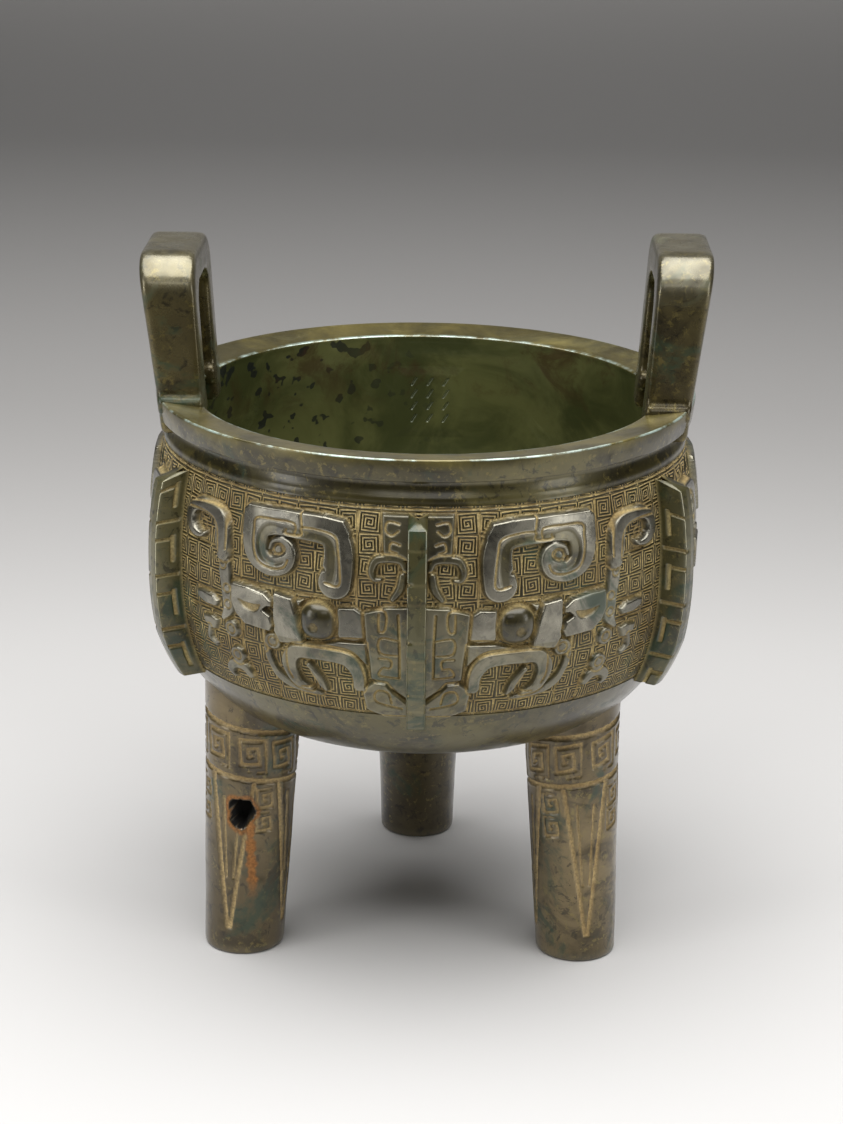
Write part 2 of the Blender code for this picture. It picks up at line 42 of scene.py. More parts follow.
# Bowl and lip
# The cauldron's deep round bowl under a heavy flat lip, cast in leaded bronze in piece moulds.
# Its outside is plain on the neck and the underside; the panel between carries the masks.
RIM_RADIUS = 0.0960
RIM_HEIGHT = 0.2025
LIP_WIDTH = 0.0145
LIP_EDGE = 0.0080
LIP_FALL = 0.0019
LIP_OVERHANG = 0.0043
LIP_ROUND = 0.0007
LIP_UNDERCUT = 0.0008          # the lip's edge leans in by this at its foot
LIP_SAG = 0.0003               # and by this half way up
NECK_DROP = 0.0105
NECK_FILLET = 0.0016
RIDGE_DROP = 0.0142            # a faint ridge round the neck, under the lip's top
RIDGE_HEIGHT = 0.0005
RIDGE_HALF = 0.0009
BELLY_RADIUS = 0.0970
BELLY_HEIGHT = 0.1498
UNDERSIDE_HEIGHT = 0.0826
UNDERSIDE_FULLNESS = (2.13, 4.90)
NECK_CURVE = 2.3
WALL = 0.0056
PANEL_TOP = 0.1858
PANEL_BOTTOM = 0.1114
PANEL_BED = 0.0014             # the turned bowl lies this far under the carved panels
INNER_SHIFT = 0.35             # the inner face sits this share of the wall higher
MOUTH_CURVE = 1.5
BOWL_SIDES = 190
UNEVEN = 0.00018               # how far the cast surface strays from true


def bowl_radius(height):
    """Outer radius of the bowl at each height."""
    height = np.asarray(height, float)
    drop = np.clip((BELLY_HEIGHT - height) / (BELLY_HEIGHT - UNDERSIDE_HEIGHT), 0, 1)
    power, root = UNDERSIDE_FULLNESS
    below = BELLY_RADIUS * (1 - drop ** power) ** (1 / root)
    rise = np.clip((height - BELLY_HEIGHT) / (RIM_HEIGHT - NECK_DROP - BELLY_HEIGHT), 0, 1)
    neck = RIM_RADIUS - LIP_OVERHANG
    above = BELLY_RADIUS - (BELLY_RADIUS - neck) * rise ** NECK_CURVE
    return np.where(height > BELLY_HEIGHT, above, below)


def inner_radius(height):
    """Inner radius: an even wall below, closing in to the lip's inner edge above."""
    mouth = RIM_RADIUS - LIP_WIDTH
    floor = UNDERSIDE_HEIGHT + WALL
    power, root = UNDERSIDE_FULLNESS
    drop = np.clip((BELLY_HEIGHT - height) / (BELLY_HEIGHT - floor), 0, 1)
    low = (BELLY_RADIUS - WALL) * (1 - drop ** power) ** (1 / root)
    rise = np.clip((height - BELLY_HEIGHT) / (RIM_HEIGHT - BELLY_HEIGHT), 0, 1)
    wall = bowl_radius(height - WALL * INNER_SHIFT) - WALL
    return np.where(height > BELLY_HEIGHT, wall + (mouth - wall) * rise ** MOUTH_CURVE, low)


def swell(x, y, z):
    """Slow unevenness of a hand-finished casting, from -1 to 1."""
    return (np.sin(71 * x + 23 * z + 1.3) * np.sin(64 * y - 31 * z + 0.4)
            + 0.5 * np.sin(163 * x - 97 * y + 2.1) * np.sin(151 * z + 88 * y)
            + 0.3 * np.sin(331 * y + 210 * z) * np.sin(307 * x - 150 * z + 0.9)) / 1.8


def arc_points(centre, radius, start, end, steps):
    """Points (radius, height) along an arc, angles in degrees from the outward direction."""
    angles = np.radians(np.linspace(start, end, steps))
    return [(centre[0] + radius * math.cos(a), centre[1] + radius * math.sin(a)) for a in angles]


def sheet_mesh(name, grid, wrap=False, fields=None, uv=True):
    """A mesh from a grid of points (rows, columns, 3), with per-point fields as attributes."""
    rows, columns = grid.shape[:2]
    index = np.arange(rows * columns).reshape(rows, columns)
    right = np.roll(index, -1, axis=1) if wrap else index[:, 1:]
    left = index if wrap else index[:, :-1]
    quads = np.stack([left[:-1], right[:-1], right[1:], left[1:]], axis=-1).reshape(-1, 4)
    mesh = bpy.data.meshes.new(name)
    mesh.vertices.add(rows * columns)
    mesh.vertices.foreach_set("co", grid.reshape(-1).astype(np.float32))
    mesh.loops.add(quads.size)
    mesh.loops.foreach_set("vertex_index", quads.reshape(-1).astype(np.int32))
    mesh.polygons.add(len(quads))
    mesh.polygons.foreach_set("loop_start", np.arange(0, quads.size, 4, dtype=np.int32))
    mesh.update(calc_edges=True)
    if uv:
        layer = mesh.uv_layers.new(name="OFBake")
        row, column = np.divmod(quads.reshape(-1), columns)
        column = column.reshape(-1, 4)
        if wrap:
            column[:, 1:3] = np.where(column[:, 1:3] == 0, columns, column[:, 1:3])
        across = column.reshape(-1) / (columns if wrap else columns - 1)
        pairs = np.stack([0.01 + 0.98 * across, 0.01 + 0.98 * row / (rows - 1)], axis=-1)
        layer.data.foreach_set("uv", pairs.reshape(-1).astype(np.float32))
    for key, values in (fields or {}).items():
        attribute = mesh.attributes.new(key, "FLOAT", "POINT")
        attribute.data.foreach_set("value", values.reshape(-1).astype(np.float32))
    return mesh


def place(name, mesh, material, smooth=180.0):
    """Put one piece of the casting in the scene with its finish."""
    piece = bpy.data.objects.new(name, mesh)
    bpy.context.scene.collection.objects.link(piece)
    mesh.materials.append(material)
    mesh.shade_smooth()
    if smooth < 180.0:
        mesh.set_sharp_from_angle(angle=math.radians(smooth))
    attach(piece, "root")
    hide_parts(NODE)


class Value:
    """A shader value: Python arithmetic on it adds Math nodes."""

    def __init__(self, tree, socket):
        self.tree = tree
        self.socket = socket

    def math(self, operation, *others):
        node = self.tree.node("ShaderNodeMath", {"operation": operation},
                              dict(enumerate((self,) + others)))
        return Value(self.tree, node.outputs[0])

    def __add__(self, other):
        return self.math("ADD", other)

    __radd__ = __add__

    def __mul__(self, other):
        return self.math("MULTIPLY", other)

    def __sub__(self, other):
        return self.math("SUBTRACT", other)

    def __rsub__(self, other):
        return (self * -1.0) + other

    def clip(self):
        node = self.tree.node("ShaderNodeClamp", {}, {0: self})
        return Value(self.tree, node.outputs[0])

    def over(self, low, high):
        """0 below low, 1 above high, smooth between."""
        node = self.tree.node("ShaderNodeMapRange", {"interpolation_type": "SMOOTHSTEP"},
                              {"Value": self, "From Min": low, "From Max": high})
        return Value(self.tree, node.outputs[0])


class Finish:
    """A material's node tree, with one method that adds any node."""

    def __init__(self, name):
        self.material = bpy.data.materials.new(name)
        self.material.use_nodes = True
        self.nodes = self.material.node_tree.nodes
        self.links = self.material.node_tree.links
        self.shader = self.nodes["Principled BSDF"]

    def node(self, kind, settings, sockets):
        node = self.nodes.new(kind)
        for key, value in settings.items():
            setattr(node, key, value)
        for key, value in sockets.items():
            self.feed(node.inputs[key], value)
        return node

    def feed(self, socket, value):
        if isinstance(value, Value):
            self.links.new(value.socket, socket)
        else:
            socket.default_value = value

    def place_in_object(self):
        return Value(self, self.node("ShaderNodeTexCoord", {}, {}).outputs["Object"])

    def noise(self, scale, detail, rough, warp=0.0):
        spot = self.place_in_object()
        node = self.node("ShaderNodeTexNoise", {}, {"Vector": spot, "Scale": scale,
                         "Detail": detail, "Roughness": rough, "Distortion": warp})
        return Value(self, node.outputs["Fac"])

    def field(self, name):
        node = self.node("ShaderNodeAttribute", {"attribute_name": name}, {})
        return Value(self, node.outputs["Fac"])

    def blend(self, factor, first, second):
        node = self.node("ShaderNodeMix", {"data_type": "RGBA"}, {"Factor": factor})
        self.feed(node.inputs[6], first)
        self.feed(node.inputs[7], second)
        return Value(self, node.outputs[2])

    def bump(self, height, strength, distance):
        node = self.node("ShaderNodeBump", {}, {"Height": height, "Strength": strength,
                                                "Distance": distance})
        self.links.new(node.outputs[0], self.shader.inputs["Normal"])


def object_axes(finish):
    """Place along the object's three axes, in metres, as shader values."""
    spot = finish.place_in_object()
    split = finish.node("ShaderNodeSeparateXYZ", {}, {0: spot})
    return [Value(finish, split.outputs[k]) for k in range(3)]


def colour(red, green, blue):
    return (red, green, blue, 1.0)


def shade(tone, share):
    """A darker or lighter tone of a colour."""
    return colour(*[channel * share for channel in tone[:3]])


SKIN = colour(0.050, 0.040, 0.010)
LIGHT_SKIN = colour(0.125, 0.106, 0.034)
RUBBED = colour(0.310, 0.292, 0.235)
WEAR_AND_HIGHLIGHT = colour(0.34, 0.32, 0.23)
GREEN = colour(0.012, 0.036, 0.014)
EARTH = colour(0.640, 0.490, 0.210)
RUSSET_EARTH = colour(0.235, 0.150, 0.055)
OCHRE = colour(0.230, 0.180, 0.050)
RUST = colour(0.340, 0.150, 0.042)
DEEP_RUST = colour(0.190, 0.080, 0.024)
EYE_DARK_AND_HOLE_SHADE = colour(0.004, 0.003, 0.002)


def patina(name, skin, light, green, earth, green_cover=0.58, shine=0.30, metal=0.45,
           gloss=0.75, lines=None):
    """Old bronze: brown-olive skin, paler worn metal, green growth and earth in the lines; the
    pale wear tone also paints highlights, and a near-black tone paints the shade in a hole.
    """
    finish = Finish(name)
    broad = finish.noise(15.0, 5.0, 0.6, 0.4)
    patch = finish.noise(42.0, 6.0, 0.62, 0.9)
    fine = finish.noise(150.0, 6.0, 0.62, 0.6)
    grain = finish.noise(1100.0, 3.0, 0.6)
    proud = finish.field("proud")
    base = finish.blend(broad.over(0.36, 0.66), skin, light)
    base = finish.blend(patch.over(0.50, 0.64) * 0.75, base, shade(skin, 0.40))
    base = finish.blend(fine.over(0.50, 0.72) * 0.45, base, shade(skin, 0.55))
    speck = finish.noise(430.0, 4.0, 0.7, 0.3)
    ochre = speck.over(0.54, 0.64) * patch.over(0.40, 0.55)
    base = finish.blend(ochre * 0.55, base, OCHRE)
    blot = finish.noise(210.0, 5.0, 0.7, 0.8).over(0.55, 0.63)
    base = finish.blend(blot * 0.70, base, shade(skin, 0.25))
    rubbed = finish.blend(patch.over(0.40, 0.62), RUBBED, shade(RUBBED, 0.42))
    rubbed = finish.blend(blot * 0.45, rubbed, shade(RUBBED, 0.30))
    base = finish.blend(proud * (0.55 + broad * 0.6), base, rubbed)
    if lines:
        base = finish.blend(finish.field("ground") * 0.65, base, shade(skin, 0.35))
    growth = finish.noise(30.0, 7.0, 0.66, 1.2) + fine * 0.12
    growth = growth.over(green_cover, green_cover + 0.12)
    base = finish.blend(growth * 0.80, base, green)
    # Pale wear tone: real wear on edges, and painted highlight on the handle tops and along the
    # flange edges.
    base = finish.blend((finish.field("wear_and_highlight") * 0.8).clip(), base, WEAR_AND_HIGHLIGHT)
    soil = finish.field("earth") * (0.62 + fine * 0.7) * (0.55 + patch * 0.9)
    if lines:
        soil = soil + lines(finish) * (0.25 + fine * 0.9 + patch * 0.5)
    soil = soil.clip()
    dust = finish.blend(grain.over(0.3, 0.7), earth, shade(earth, 0.50))
    dust = finish.blend(patch.over(0.44, 0.62) * 0.55, dust, RUSSET_EARTH)
    base = finish.blend(soil, base, dust)
    rust = (finish.field("rust") * (0.45 + fine * 1.1)).clip()
    base = finish.blend(rust, base, finish.blend(grain.over(0.3, 0.7), RUST, DEEP_RUST))
    # Near-black at half strength is the eyes' own darker tone; at full strength it is painted
    # shade filling the broken hole in the leg.
    base = finish.blend(finish.field("eye_dark_and_hole_shade"), base, EYE_DARK_AND_HOLE_SHADE)
    finish.base = base
    finish.feed(finish.shader.inputs["Base Color"], base)
    # The painted shade in the hole is also made fully rough, with no coat and no metal.
    hollow = (finish.field("eye_dark_and_hole_shade") * 2.0 - 1.0).clip()
    rough = shine + growth * 0.16 + fine.over(0.42, 0.8) * 0.16 + soil * 0.55
    rough = rough - proud * 0.03 + hollow
    finish.feed(finish.shader.inputs["Roughness"], rough.clip())
    wax = (1.0 - soil) * (1.0 - fine.over(0.50, 0.75) * 0.5) * gloss
    wax = wax * (1.0 - rust) * (1.0 - hollow)
    if lines:
        wax = wax * (1.0 - finish.field("ground") * 0.7)
    finish.feed(finish.shader.inputs["Coat Weight"], wax.clip())
    finish.shader.inputs["Coat Roughness"].default_value = 0.22
    shown = (1.0 - soil) * (1.0 - growth * 0.5) * (proud * 0.45 + metal) * (1.0 - hollow)
    finish.feed(finish.shader.inputs["Metallic"], shown.clip())
    relief = fine * 0.5 + grain * 0.25 + growth * 0.4
    if lines:
        relief = relief - lines(finish) * 1.1
    finish.bump(relief, 0.30, 0.0004)
    return finish


outer_levels = np.concatenate([
    UNDERSIDE_HEIGHT
    + (BELLY_HEIGHT - UNDERSIDE_HEIGHT) * (1 - np.cos(np.linspace(0.03, 1.57, 46))),
    np.linspace(BELLY_HEIGHT, RIM_HEIGHT - NECK_DROP, 44)[1:]])
outer_levels = np.unique(np.concatenate([outer_levels, [
    PANEL_BOTTOM - 0.0003, PANEL_BOTTOM + 0.0003, PANEL_TOP - 0.0003, PANEL_TOP + 0.0003]]))
outer_radii = bowl_radius(outer_levels)
under_panel = (outer_levels > PANEL_BOTTOM) & (outer_levels < PANEL_TOP)
outer_radii = outer_radii - PANEL_BED * under_panel
ridge = RIDGE_HEIGHT * np.exp(-((outer_levels - RIM_HEIGHT + RIDGE_DROP) / RIDGE_HALF) ** 2)
outer = list(zip(outer_radii + ridge, outer_levels))
lip_low = RIM_HEIGHT - LIP_EDGE
neck = RIM_RADIUS - LIP_OVERHANG
lip_side = arc_points((neck + NECK_FILLET, lip_low - NECK_FILLET), NECK_FILLET, 180, 90, 5)
lip_side += arc_points((RIM_RADIUS - LIP_UNDERCUT - LIP_ROUND, lip_low + LIP_ROUND), LIP_ROUND,
                       -90, -5, 5)
lip_side += [(RIM_RADIUS - LIP_SAG, lip_low + LIP_EDGE * 0.5)]
lip_top = arc_points((RIM_RADIUS - LIP_ROUND, RIM_HEIGHT - LIP_ROUND), LIP_ROUND, 3, 97, 6)
lip_top += [(RIM_RADIUS - LIP_WIDTH * share, RIM_HEIGHT - LIP_FALL * share) for share in
            (0.15, 0.3, 0.45, 0.6, 0.75, 0.88)]
mouth = RIM_RADIUS - LIP_WIDTH
lip_top += arc_points((mouth + LIP_ROUND, RIM_HEIGHT - LIP_FALL - LIP_ROUND), LIP_ROUND,
                      97, 180, 5)
floor = UNDERSIDE_HEIGHT + WALL
inner_levels = np.concatenate([
    np.linspace(RIM_HEIGHT - LIP_FALL - 0.0016, BELLY_HEIGHT, 30),
    floor + (BELLY_HEIGHT - floor) * (1 - np.cos(np.linspace(1.57, 0.03, 40)[1:]))])
inner = list(zip(inner_radius(inner_levels), inner_levels))
profile = np.array([(0.0005, UNDERSIDE_HEIGHT)] + outer + lip_side + lip_top + inner
                   + [(0.0005, floor)])
turn = np.linspace(0, math.tau, BOWL_SIDES, endpoint=False)
radii = profile[:, 0][:, None]
levels = profile[:, 1][:, None] + 0 * turn[None]
grid = np.stack([radii * np.sin(turn), -radii * np.cos(turn), levels], axis=-1)
uneven = swell(grid[..., 0], grid[..., 1], grid[..., 2]) * UNEVEN
on_wall = np.clip(radii / 0.04, 0, 1)
grid[..., 0] += uneven * np.sin(turn) * on_wall
grid[..., 1] -= uneven * np.cos(turn) * on_wall
top_start = 1 + len(outer) + len(lip_side)
top_end = top_start + len(lip_top)
inside = (np.arange(len(profile)) >= top_end - 3).astype(float)[:, None]
top_face = np.zeros(len(profile))
top_face[top_start:top_end - 1] = 1.0
edge = np.zeros(len(profile))
edge[top_start + 1:top_start + 5] = 1.0
edge[top_start + 12:top_start + 15] = 1.0
bowl_fields = {"inside": inside + 0 * levels, "lip_top": top_face[:, None] + 0 * levels,
               "lip_edge": edge[:, None] + 0 * levels}
INSIDE_GREEN = colour(0.075, 0.085, 0.028)
INSIDE_LIGHT = colour(0.185, 0.190, 0.070)
BLOT = colour(0.010, 0.013, 0.020)
RUSSET = colour(0.075, 0.035, 0.015)
LIP_OLIVE = colour(0.060, 0.050, 0.014)
LIP_YELLOW = colour(0.185, 0.150, 0.040)
PALE_LINE = colour(0.420, 0.470, 0.360)
CHALK = colour(0.42, 0.52, 0.46)
finish = patina("bowl_bronze", SKIN, LIGHT_SKIN, GREEN, EARTH, green_cover=0.60)
inside_skin = finish.blend(finish.noise(22.0, 5.0, 0.6, 0.8).over(0.38, 0.62), INSIDE_GREEN,
                           INSIDE_LIGHT)
x_axis, _, z_axis = object_axes(finish)
blots = finish.noise(150.0, 2.0, 0.5, 0.0).over(0.585, 0.62)
blots = blots * (x_axis * -1.0).over(-0.02, 0.05)
inside_skin = finish.blend(blots * 0.9, inside_skin, BLOT)
russet = finish.noise(48.0, 6.0, 0.7, 0.5).over(0.50, 0.66) * z_axis.over(0.165, 0.190)
inside_skin = finish.blend(russet * 0.7, inside_skin, RUSSET)
body = finish.blend(finish.field("inside"), finish.base, inside_skin)
olive = finish.blend(finish.noise(40.0, 6.0, 0.65, 0.5).over(0.35, 0.7), LIP_OLIVE, LIP_YELLOW)
body = finish.blend(finish.field("lip_top") * 0.9, body, olive)
body = finish.blend(finish.field("stroke") * 0.9, body, PALE_LINE)
chalk = finish.noise(70.0, 5.0, 0.7, 0.3).over(0.42, 0.62) * finish.field("lip_edge")
body = finish.blend(chalk.clip(), body, CHALK)
finish.feed(finish.shader.inputs["Base Color"], body)
place("bowl_and_lip", sheet_mesh("bowl_and_lip", grid, True, bowl_fields), finish.material,
      smooth=50.0)

# Strokes inside
# Rows of shallow slanting strokes in the bronze of the back wall, cast with the bowl.
# They stand where the real vessel carries its cast mark, and say nothing.
STROKE_COLUMNS = 3
STROKE_ROWS = 4
STROKE_HEIGHT = 0.0035
STROKE_WIDTH = 0.0009
STROKE_DEPTH = 0.0005
STROKE_LEAN = 0.0010
STROKE_PITCH = (0.0062, 0.0052)
STROKE_DROP = 0.0195
STROKE_MARGIN = 0.0060
STROKE_SHEET = 0.00028
half_across = STROKE_PITCH[0] * STROKE_COLUMNS / 2 + STROKE_MARGIN
sheet_top = RIM_HEIGHT - STROKE_DROP + STROKE_MARGIN
sheet_low = RIM_HEIGHT - STROKE_DROP - STROKE_PITCH[1] * STROKE_ROWS - STROKE_MARGIN
x, level = np.meshgrid(np.arange(-half_across, half_across, STROKE_SHEET),
                       np.arange(sheet_low, sheet_top, STROKE_SHEET))
cut = np.zeros(x.shape)
for column in range(STROKE_COLUMNS):
    for row in range(STROKE_ROWS):
        foot = RIM_HEIGHT - STROKE_DROP - row * STROKE_PITCH[1] - STROKE_HEIGHT
        along = (level - foot) / STROKE_HEIGHT
        middle = (column - (STROKE_COLUMNS - 1) / 2) * STROKE_PITCH[0]
        middle = middle + STROKE_LEAN * (2 * along - 1)
        inside_stroke = np.clip((STROKE_WIDTH / 2 - np.abs(x - middle)) / STROKE_SHEET + 0.5, 0, 1)
        cut = np.maximum(cut, inside_stroke * (along > 0) * (along < 1))
border = np.minimum(half_across - np.abs(x), np.minimum(level - sheet_low, sheet_top - level))
share = np.clip(border / STROKE_MARGIN, 0, 1)
lift = STROKE_DEPTH * (1.1 * share ** 2 * (3 - 2 * share) - 0.1)
radius = inner_radius(level)
bearing = math.pi - x / radius
flat_x, flat_y = radius * np.sin(bearing), -radius * np.cos(bearing)
radius = radius + swell(flat_x, flat_y, level) * UNEVEN - lift + STROKE_DEPTH * cut
points = np.stack([radius * np.sin(bearing), -radius * np.cos(bearing), level], axis=-1)
stroke_fields = {"inside": np.ones(x.shape), "stroke": cut}
place("strokes_inside", sheet_mesh("strokes_inside", points, False, stroke_fields),
      finish.material)

# Mask panels
# Three two-fold masks in raised relief over a ground of fine square spirals, cast with the
# bowl between the flanges. Each half runs from a mask's own flange to the next flange.
GRID_WIDTH = 1309.0            # drawing steps from the mask's axis to the side flange
GRID_TOP = 31.0
GRID_BOTTOM = 1000.0
RELIEF = 0.0022
LOW_RELIEF = 0.0012
SHOULDER = 9.0                 # drawing steps over which a raised edge rounds off
LEIWEN_DEPTH = 0.00040
LEIWEN_CELL = 96.0
LEIWEN_TURNS = 3.5
LEIWEN_START = 0.6             # where a spiral's line begins, in radians
LEIWEN_LEFT = 69.0
LEIWEN_TOP = 55.0
EYE_CENTRE = (430.0, 560.0)
NOSE_SIDE = 228.0
JAW_TOP = 655.0
EYE_SIZE = (80.0, 86.0)
EYE_HEIGHT = 0.0040
EYE_DARK = 0.50
PUPIL_SIZE = 24.0
RULE_HALF = 6.0                # the rules that close the panel above and below


def smooth_path(points, steps=7):
    """A smooth curve through given points, closed by its ends."""
    points = [np.array(p, float) for p in points]
    ends = [points[0]] + points + [points[-1]]
    path = []
    for a, b, c, d in zip(ends, ends[1:], ends[2:], ends[3:]):
        for t in np.arange(steps) / steps:
            path.append(0.5 * (2 * b + (c - a) * t + (2 * a - 5 * b + 4 * c - d) * t * t
                               + (3 * b - a - 3 * c + d) * t ** 3))
    path.append(points[-1])
    return np.array(path)


def ribbon_depth(gx, gy, points, steps=7):
    """How far each grid point lies inside a band of points (x, y, half width)."""
    path = smooth_path(points, steps)
    best = np.full(gx.shape, -1e6)
    for (ax, ay, aw), (bx, by, bw) in zip(path[:-1], path[1:]):
        dx, dy = bx - ax, by - ay
        t = np.clip(((gx - ax) * dx + (gy - ay) * dy) / (dx * dx + dy * dy + 1e-9), 0, 1)
        away = np.hypot(gx - ax - t * dx, gy - ay - t * dy)
        best = np.maximum(best, aw + (bw - aw) * t - away)
    return best


def shape_depth(gx, gy, points):
    """How far each grid point lies inside a closed outline."""
    inside = np.zeros(gx.shape, bool)
    away = np.full(gx.shape, 1e6)
    for (ax, ay), (bx, by) in zip(points, points[1:] + points[:1]):
        dx, dy = bx - ax, by - ay
        t = np.clip(((gx - ax) * dx + (gy - ay) * dy) / (dx * dx + dy * dy + 1e-9), 0, 1)
        away = np.minimum(away, np.hypot(gx - ax - t * dx, gy - ay - t * dy))
        if ay != by:
            inside ^= ((ay > gy) != (by > gy)) & (gx < (bx - ax) * (gy - ay) / (by - ay) + ax)
    return np.where(inside, away, -away)


def spiral_wave(a, b, turns):
    """A square spiral in a box from -1 to 1: 1 along its line, 0 between."""
    reach = np.maximum(np.abs(a), np.abs(b))
    return 0.5 + 0.5 * np.cos(math.tau * reach * turns + np.arctan2(b, a) + LEIWEN_START)


def leiwen(gx, gy):
    """The fine ground: square spirals in rows, turning by turns left and right; 1 in a line."""
    across, down = (gx - LEIWEN_LEFT) / LEIWEN_CELL, (gy - LEIWEN_TOP) / LEIWEN_CELL
    column, row = np.floor(across), np.floor(down)
    a = ((across - column) * 2 - 1) * np.where((column + row) % 2 > 0, -1, 1)
    return spiral_wave(a, (down - row) * 2 - 1, LEIWEN_TURNS)


def leiwen_lines(finish):
    """The same spirals in the finish: earth in their lines, on the ground alone."""
    across = finish.field("across") * (1 / LEIWEN_CELL) - LEIWEN_LEFT / LEIWEN_CELL
    down = finish.field("down") * (1 / LEIWEN_CELL) - LEIWEN_TOP / LEIWEN_CELL
    turned = (across.math("FLOOR") + down.math("FLOOR")).math("FLOORED_MODULO", 2.0)
    a = (across.math("FRACT") * 2.0 - 1.0) * (1.0 - turned * 2.0)
    b = down.math("FRACT") * 2.0 - 1.0
    reach = a.math("ABSOLUTE").math("MAXIMUM", b.math("ABSOLUTE"))
    phase = reach * (math.tau * LEIWEN_TURNS) + b.math("ARCTAN2", a) + LEIWEN_START
    wave = phase.math("COSINE") * 0.5 + 0.5
    return wave.over(0.50, 0.85) * finish.field("ground")


def blur(field, size):
    """Box blur along both directions of a grid."""
    for axis in (0, 1):
        pad = [(0, 0), (0, 0)]
        pad[axis] = (size, size)
        wide = np.pad(field, pad, mode="edge")
        total = np.cumsum(wide, axis=axis)
        count = 2 * size
        high = np.take(total, np.arange(count, wide.shape[axis]), axis=axis)
        low = np.take(total, np.arange(0, wide.shape[axis] - count), axis=axis)
        field = (high - low) / count
    return field


HORN = [(352, 374, 76), (340, 310, 70), (340, 225, 66), (368, 168, 64),
        (430, 148, 62), (530, 145, 60), (640, 146, 60), (716, 172, 64), (742, 235, 66),
        (724, 305, 58), (660, 342, 48), (592, 326, 44), (560, 285, 30), (566, 240, 22),
        (606, 218, 16), (648, 232, 12), (662, 266, 8)]
HORN_TIP = [(640, 86), (790, 90), (812, 110), (812, 240), (700, 140)]
HORN_FOOT = [(276, 300), (290, 150), (320, 98), (420, 84), (420, 150)]
HORN_NOTCH = [(420, 286), (460, 286), (452, 336), (398, 322)]
HORN_INSIDE = [(372, 368, 26), (366, 300, 30), (372, 220, 30), (410, 184, 28), (500, 176, 26),
               (600, 176, 26), (668, 182, 34), (702, 235, 30), (690, 300, 26), (640, 326, 20),
               (590, 312, 12)]
UPPER_JAW = [(215, 640), (340, 644), (420, 668), (500, 672), (590, 690), (480, 684), (340, 690),
             (258, 712), (214, 748)]
JAW = [(250, 850, 28), (252, 785, 34), (296, 726, 36), (370, 711, 35), (460, 710, 35),
       (534, 716, 37), (572, 765, 38), (568, 820, 34), (540, 868, 26), (482, 892, 12)]
FANG = [(478, 775, 14), (452, 815, 20), (428, 850, 20), (405, 890, 8)]
LIP_LINE = [(692, 705, 14), (684, 780, 20), (648, 852, 22), (575, 897, 20), (440, 918, 10)]
BROW_BAND = [(52, 306, 12), (70, 264, 15), (120, 254, 17), (176, 264, 18), (196, 310, 16),
             (184, 345, 12), (156, 346, 8)]
BROW_HOOK = [(62, 326, 16), (72, 385, 18), (104, 432, 12)]
SIDE_BODY = [(925, 345, 36), (932, 290, 42), (942, 220, 42), (975, 178, 38), (1050, 163, 30),
             (1120, 168, 30), (1160, 205, 30), (1160, 255, 28), (1128, 290, 22), (1080, 296, 14),
             (1056, 284, 8)]
SIDE_STEM = [(925, 345, 34), (922, 420, 36), (914, 480, 32), (905, 540, 34), (905, 600, 30),
             (935, 645, 16)]
EYE_PLATE = [(232, 505), (268, 482), (342, 488), (352, 560), (338, 632), (262, 634), (222, 620)]
CHEEK = [(548, 470), (640, 458), (642, 560), (640, 640), (612, 690), (500, 680), (512, 600)]
BROW_CORNER = [(500, 476), (540, 478), (520, 512)]
EAR = [(646, 505), (690, 472), (780, 460), (868, 460), (872, 545), (845, 600), (795, 640),
       (660, 648), (640, 610), (656, 572), (692, 552), (672, 534), (648, 532)]
EAR_HOLLOW = [(706, 530, 6), (740, 550, 20), (790, 545, 16), (824, 526, 4)]
SNOUT = [(20, 1018), (20, 938), (98, 870), (132, 828), (184, 822), (240, 862), (226, 968),
         (130, 1012)]
NOSE = [(20, 465), (130, 470), (228, 500), (218, 640), (205, 720), (200, 810), (100, 866),
        (20, 926)]
CROWN = [(20, 262), (20, 62), (158, 62), (146, 245), (80, 262)]
LENS = [(965, 582), (1000, 558), (1080, 552), (1120, 560), (1110, 596), (1050, 612), (985, 610)]
BULB = [(975, 672), (1020, 660), (1080, 668), (1072, 706), (1040, 728), (1000, 722)]
VOLUTES = [(622, 266), (655, 693), (890, 690), (872, 812)]
RINGS = [(930, 395), (905, 500), (902, 575), (1086, 248)]
STEMS = [[(1040, 720, 12), (1050, 770, 14), (1010, 800, 10)],
         [(816, 900, 22), (850, 868, 24), (905, 866, 26), (942, 900, 22), (925, 930, 12)],
         [(700, 640, 8), (704, 690, 10), (700, 740, 8)]]
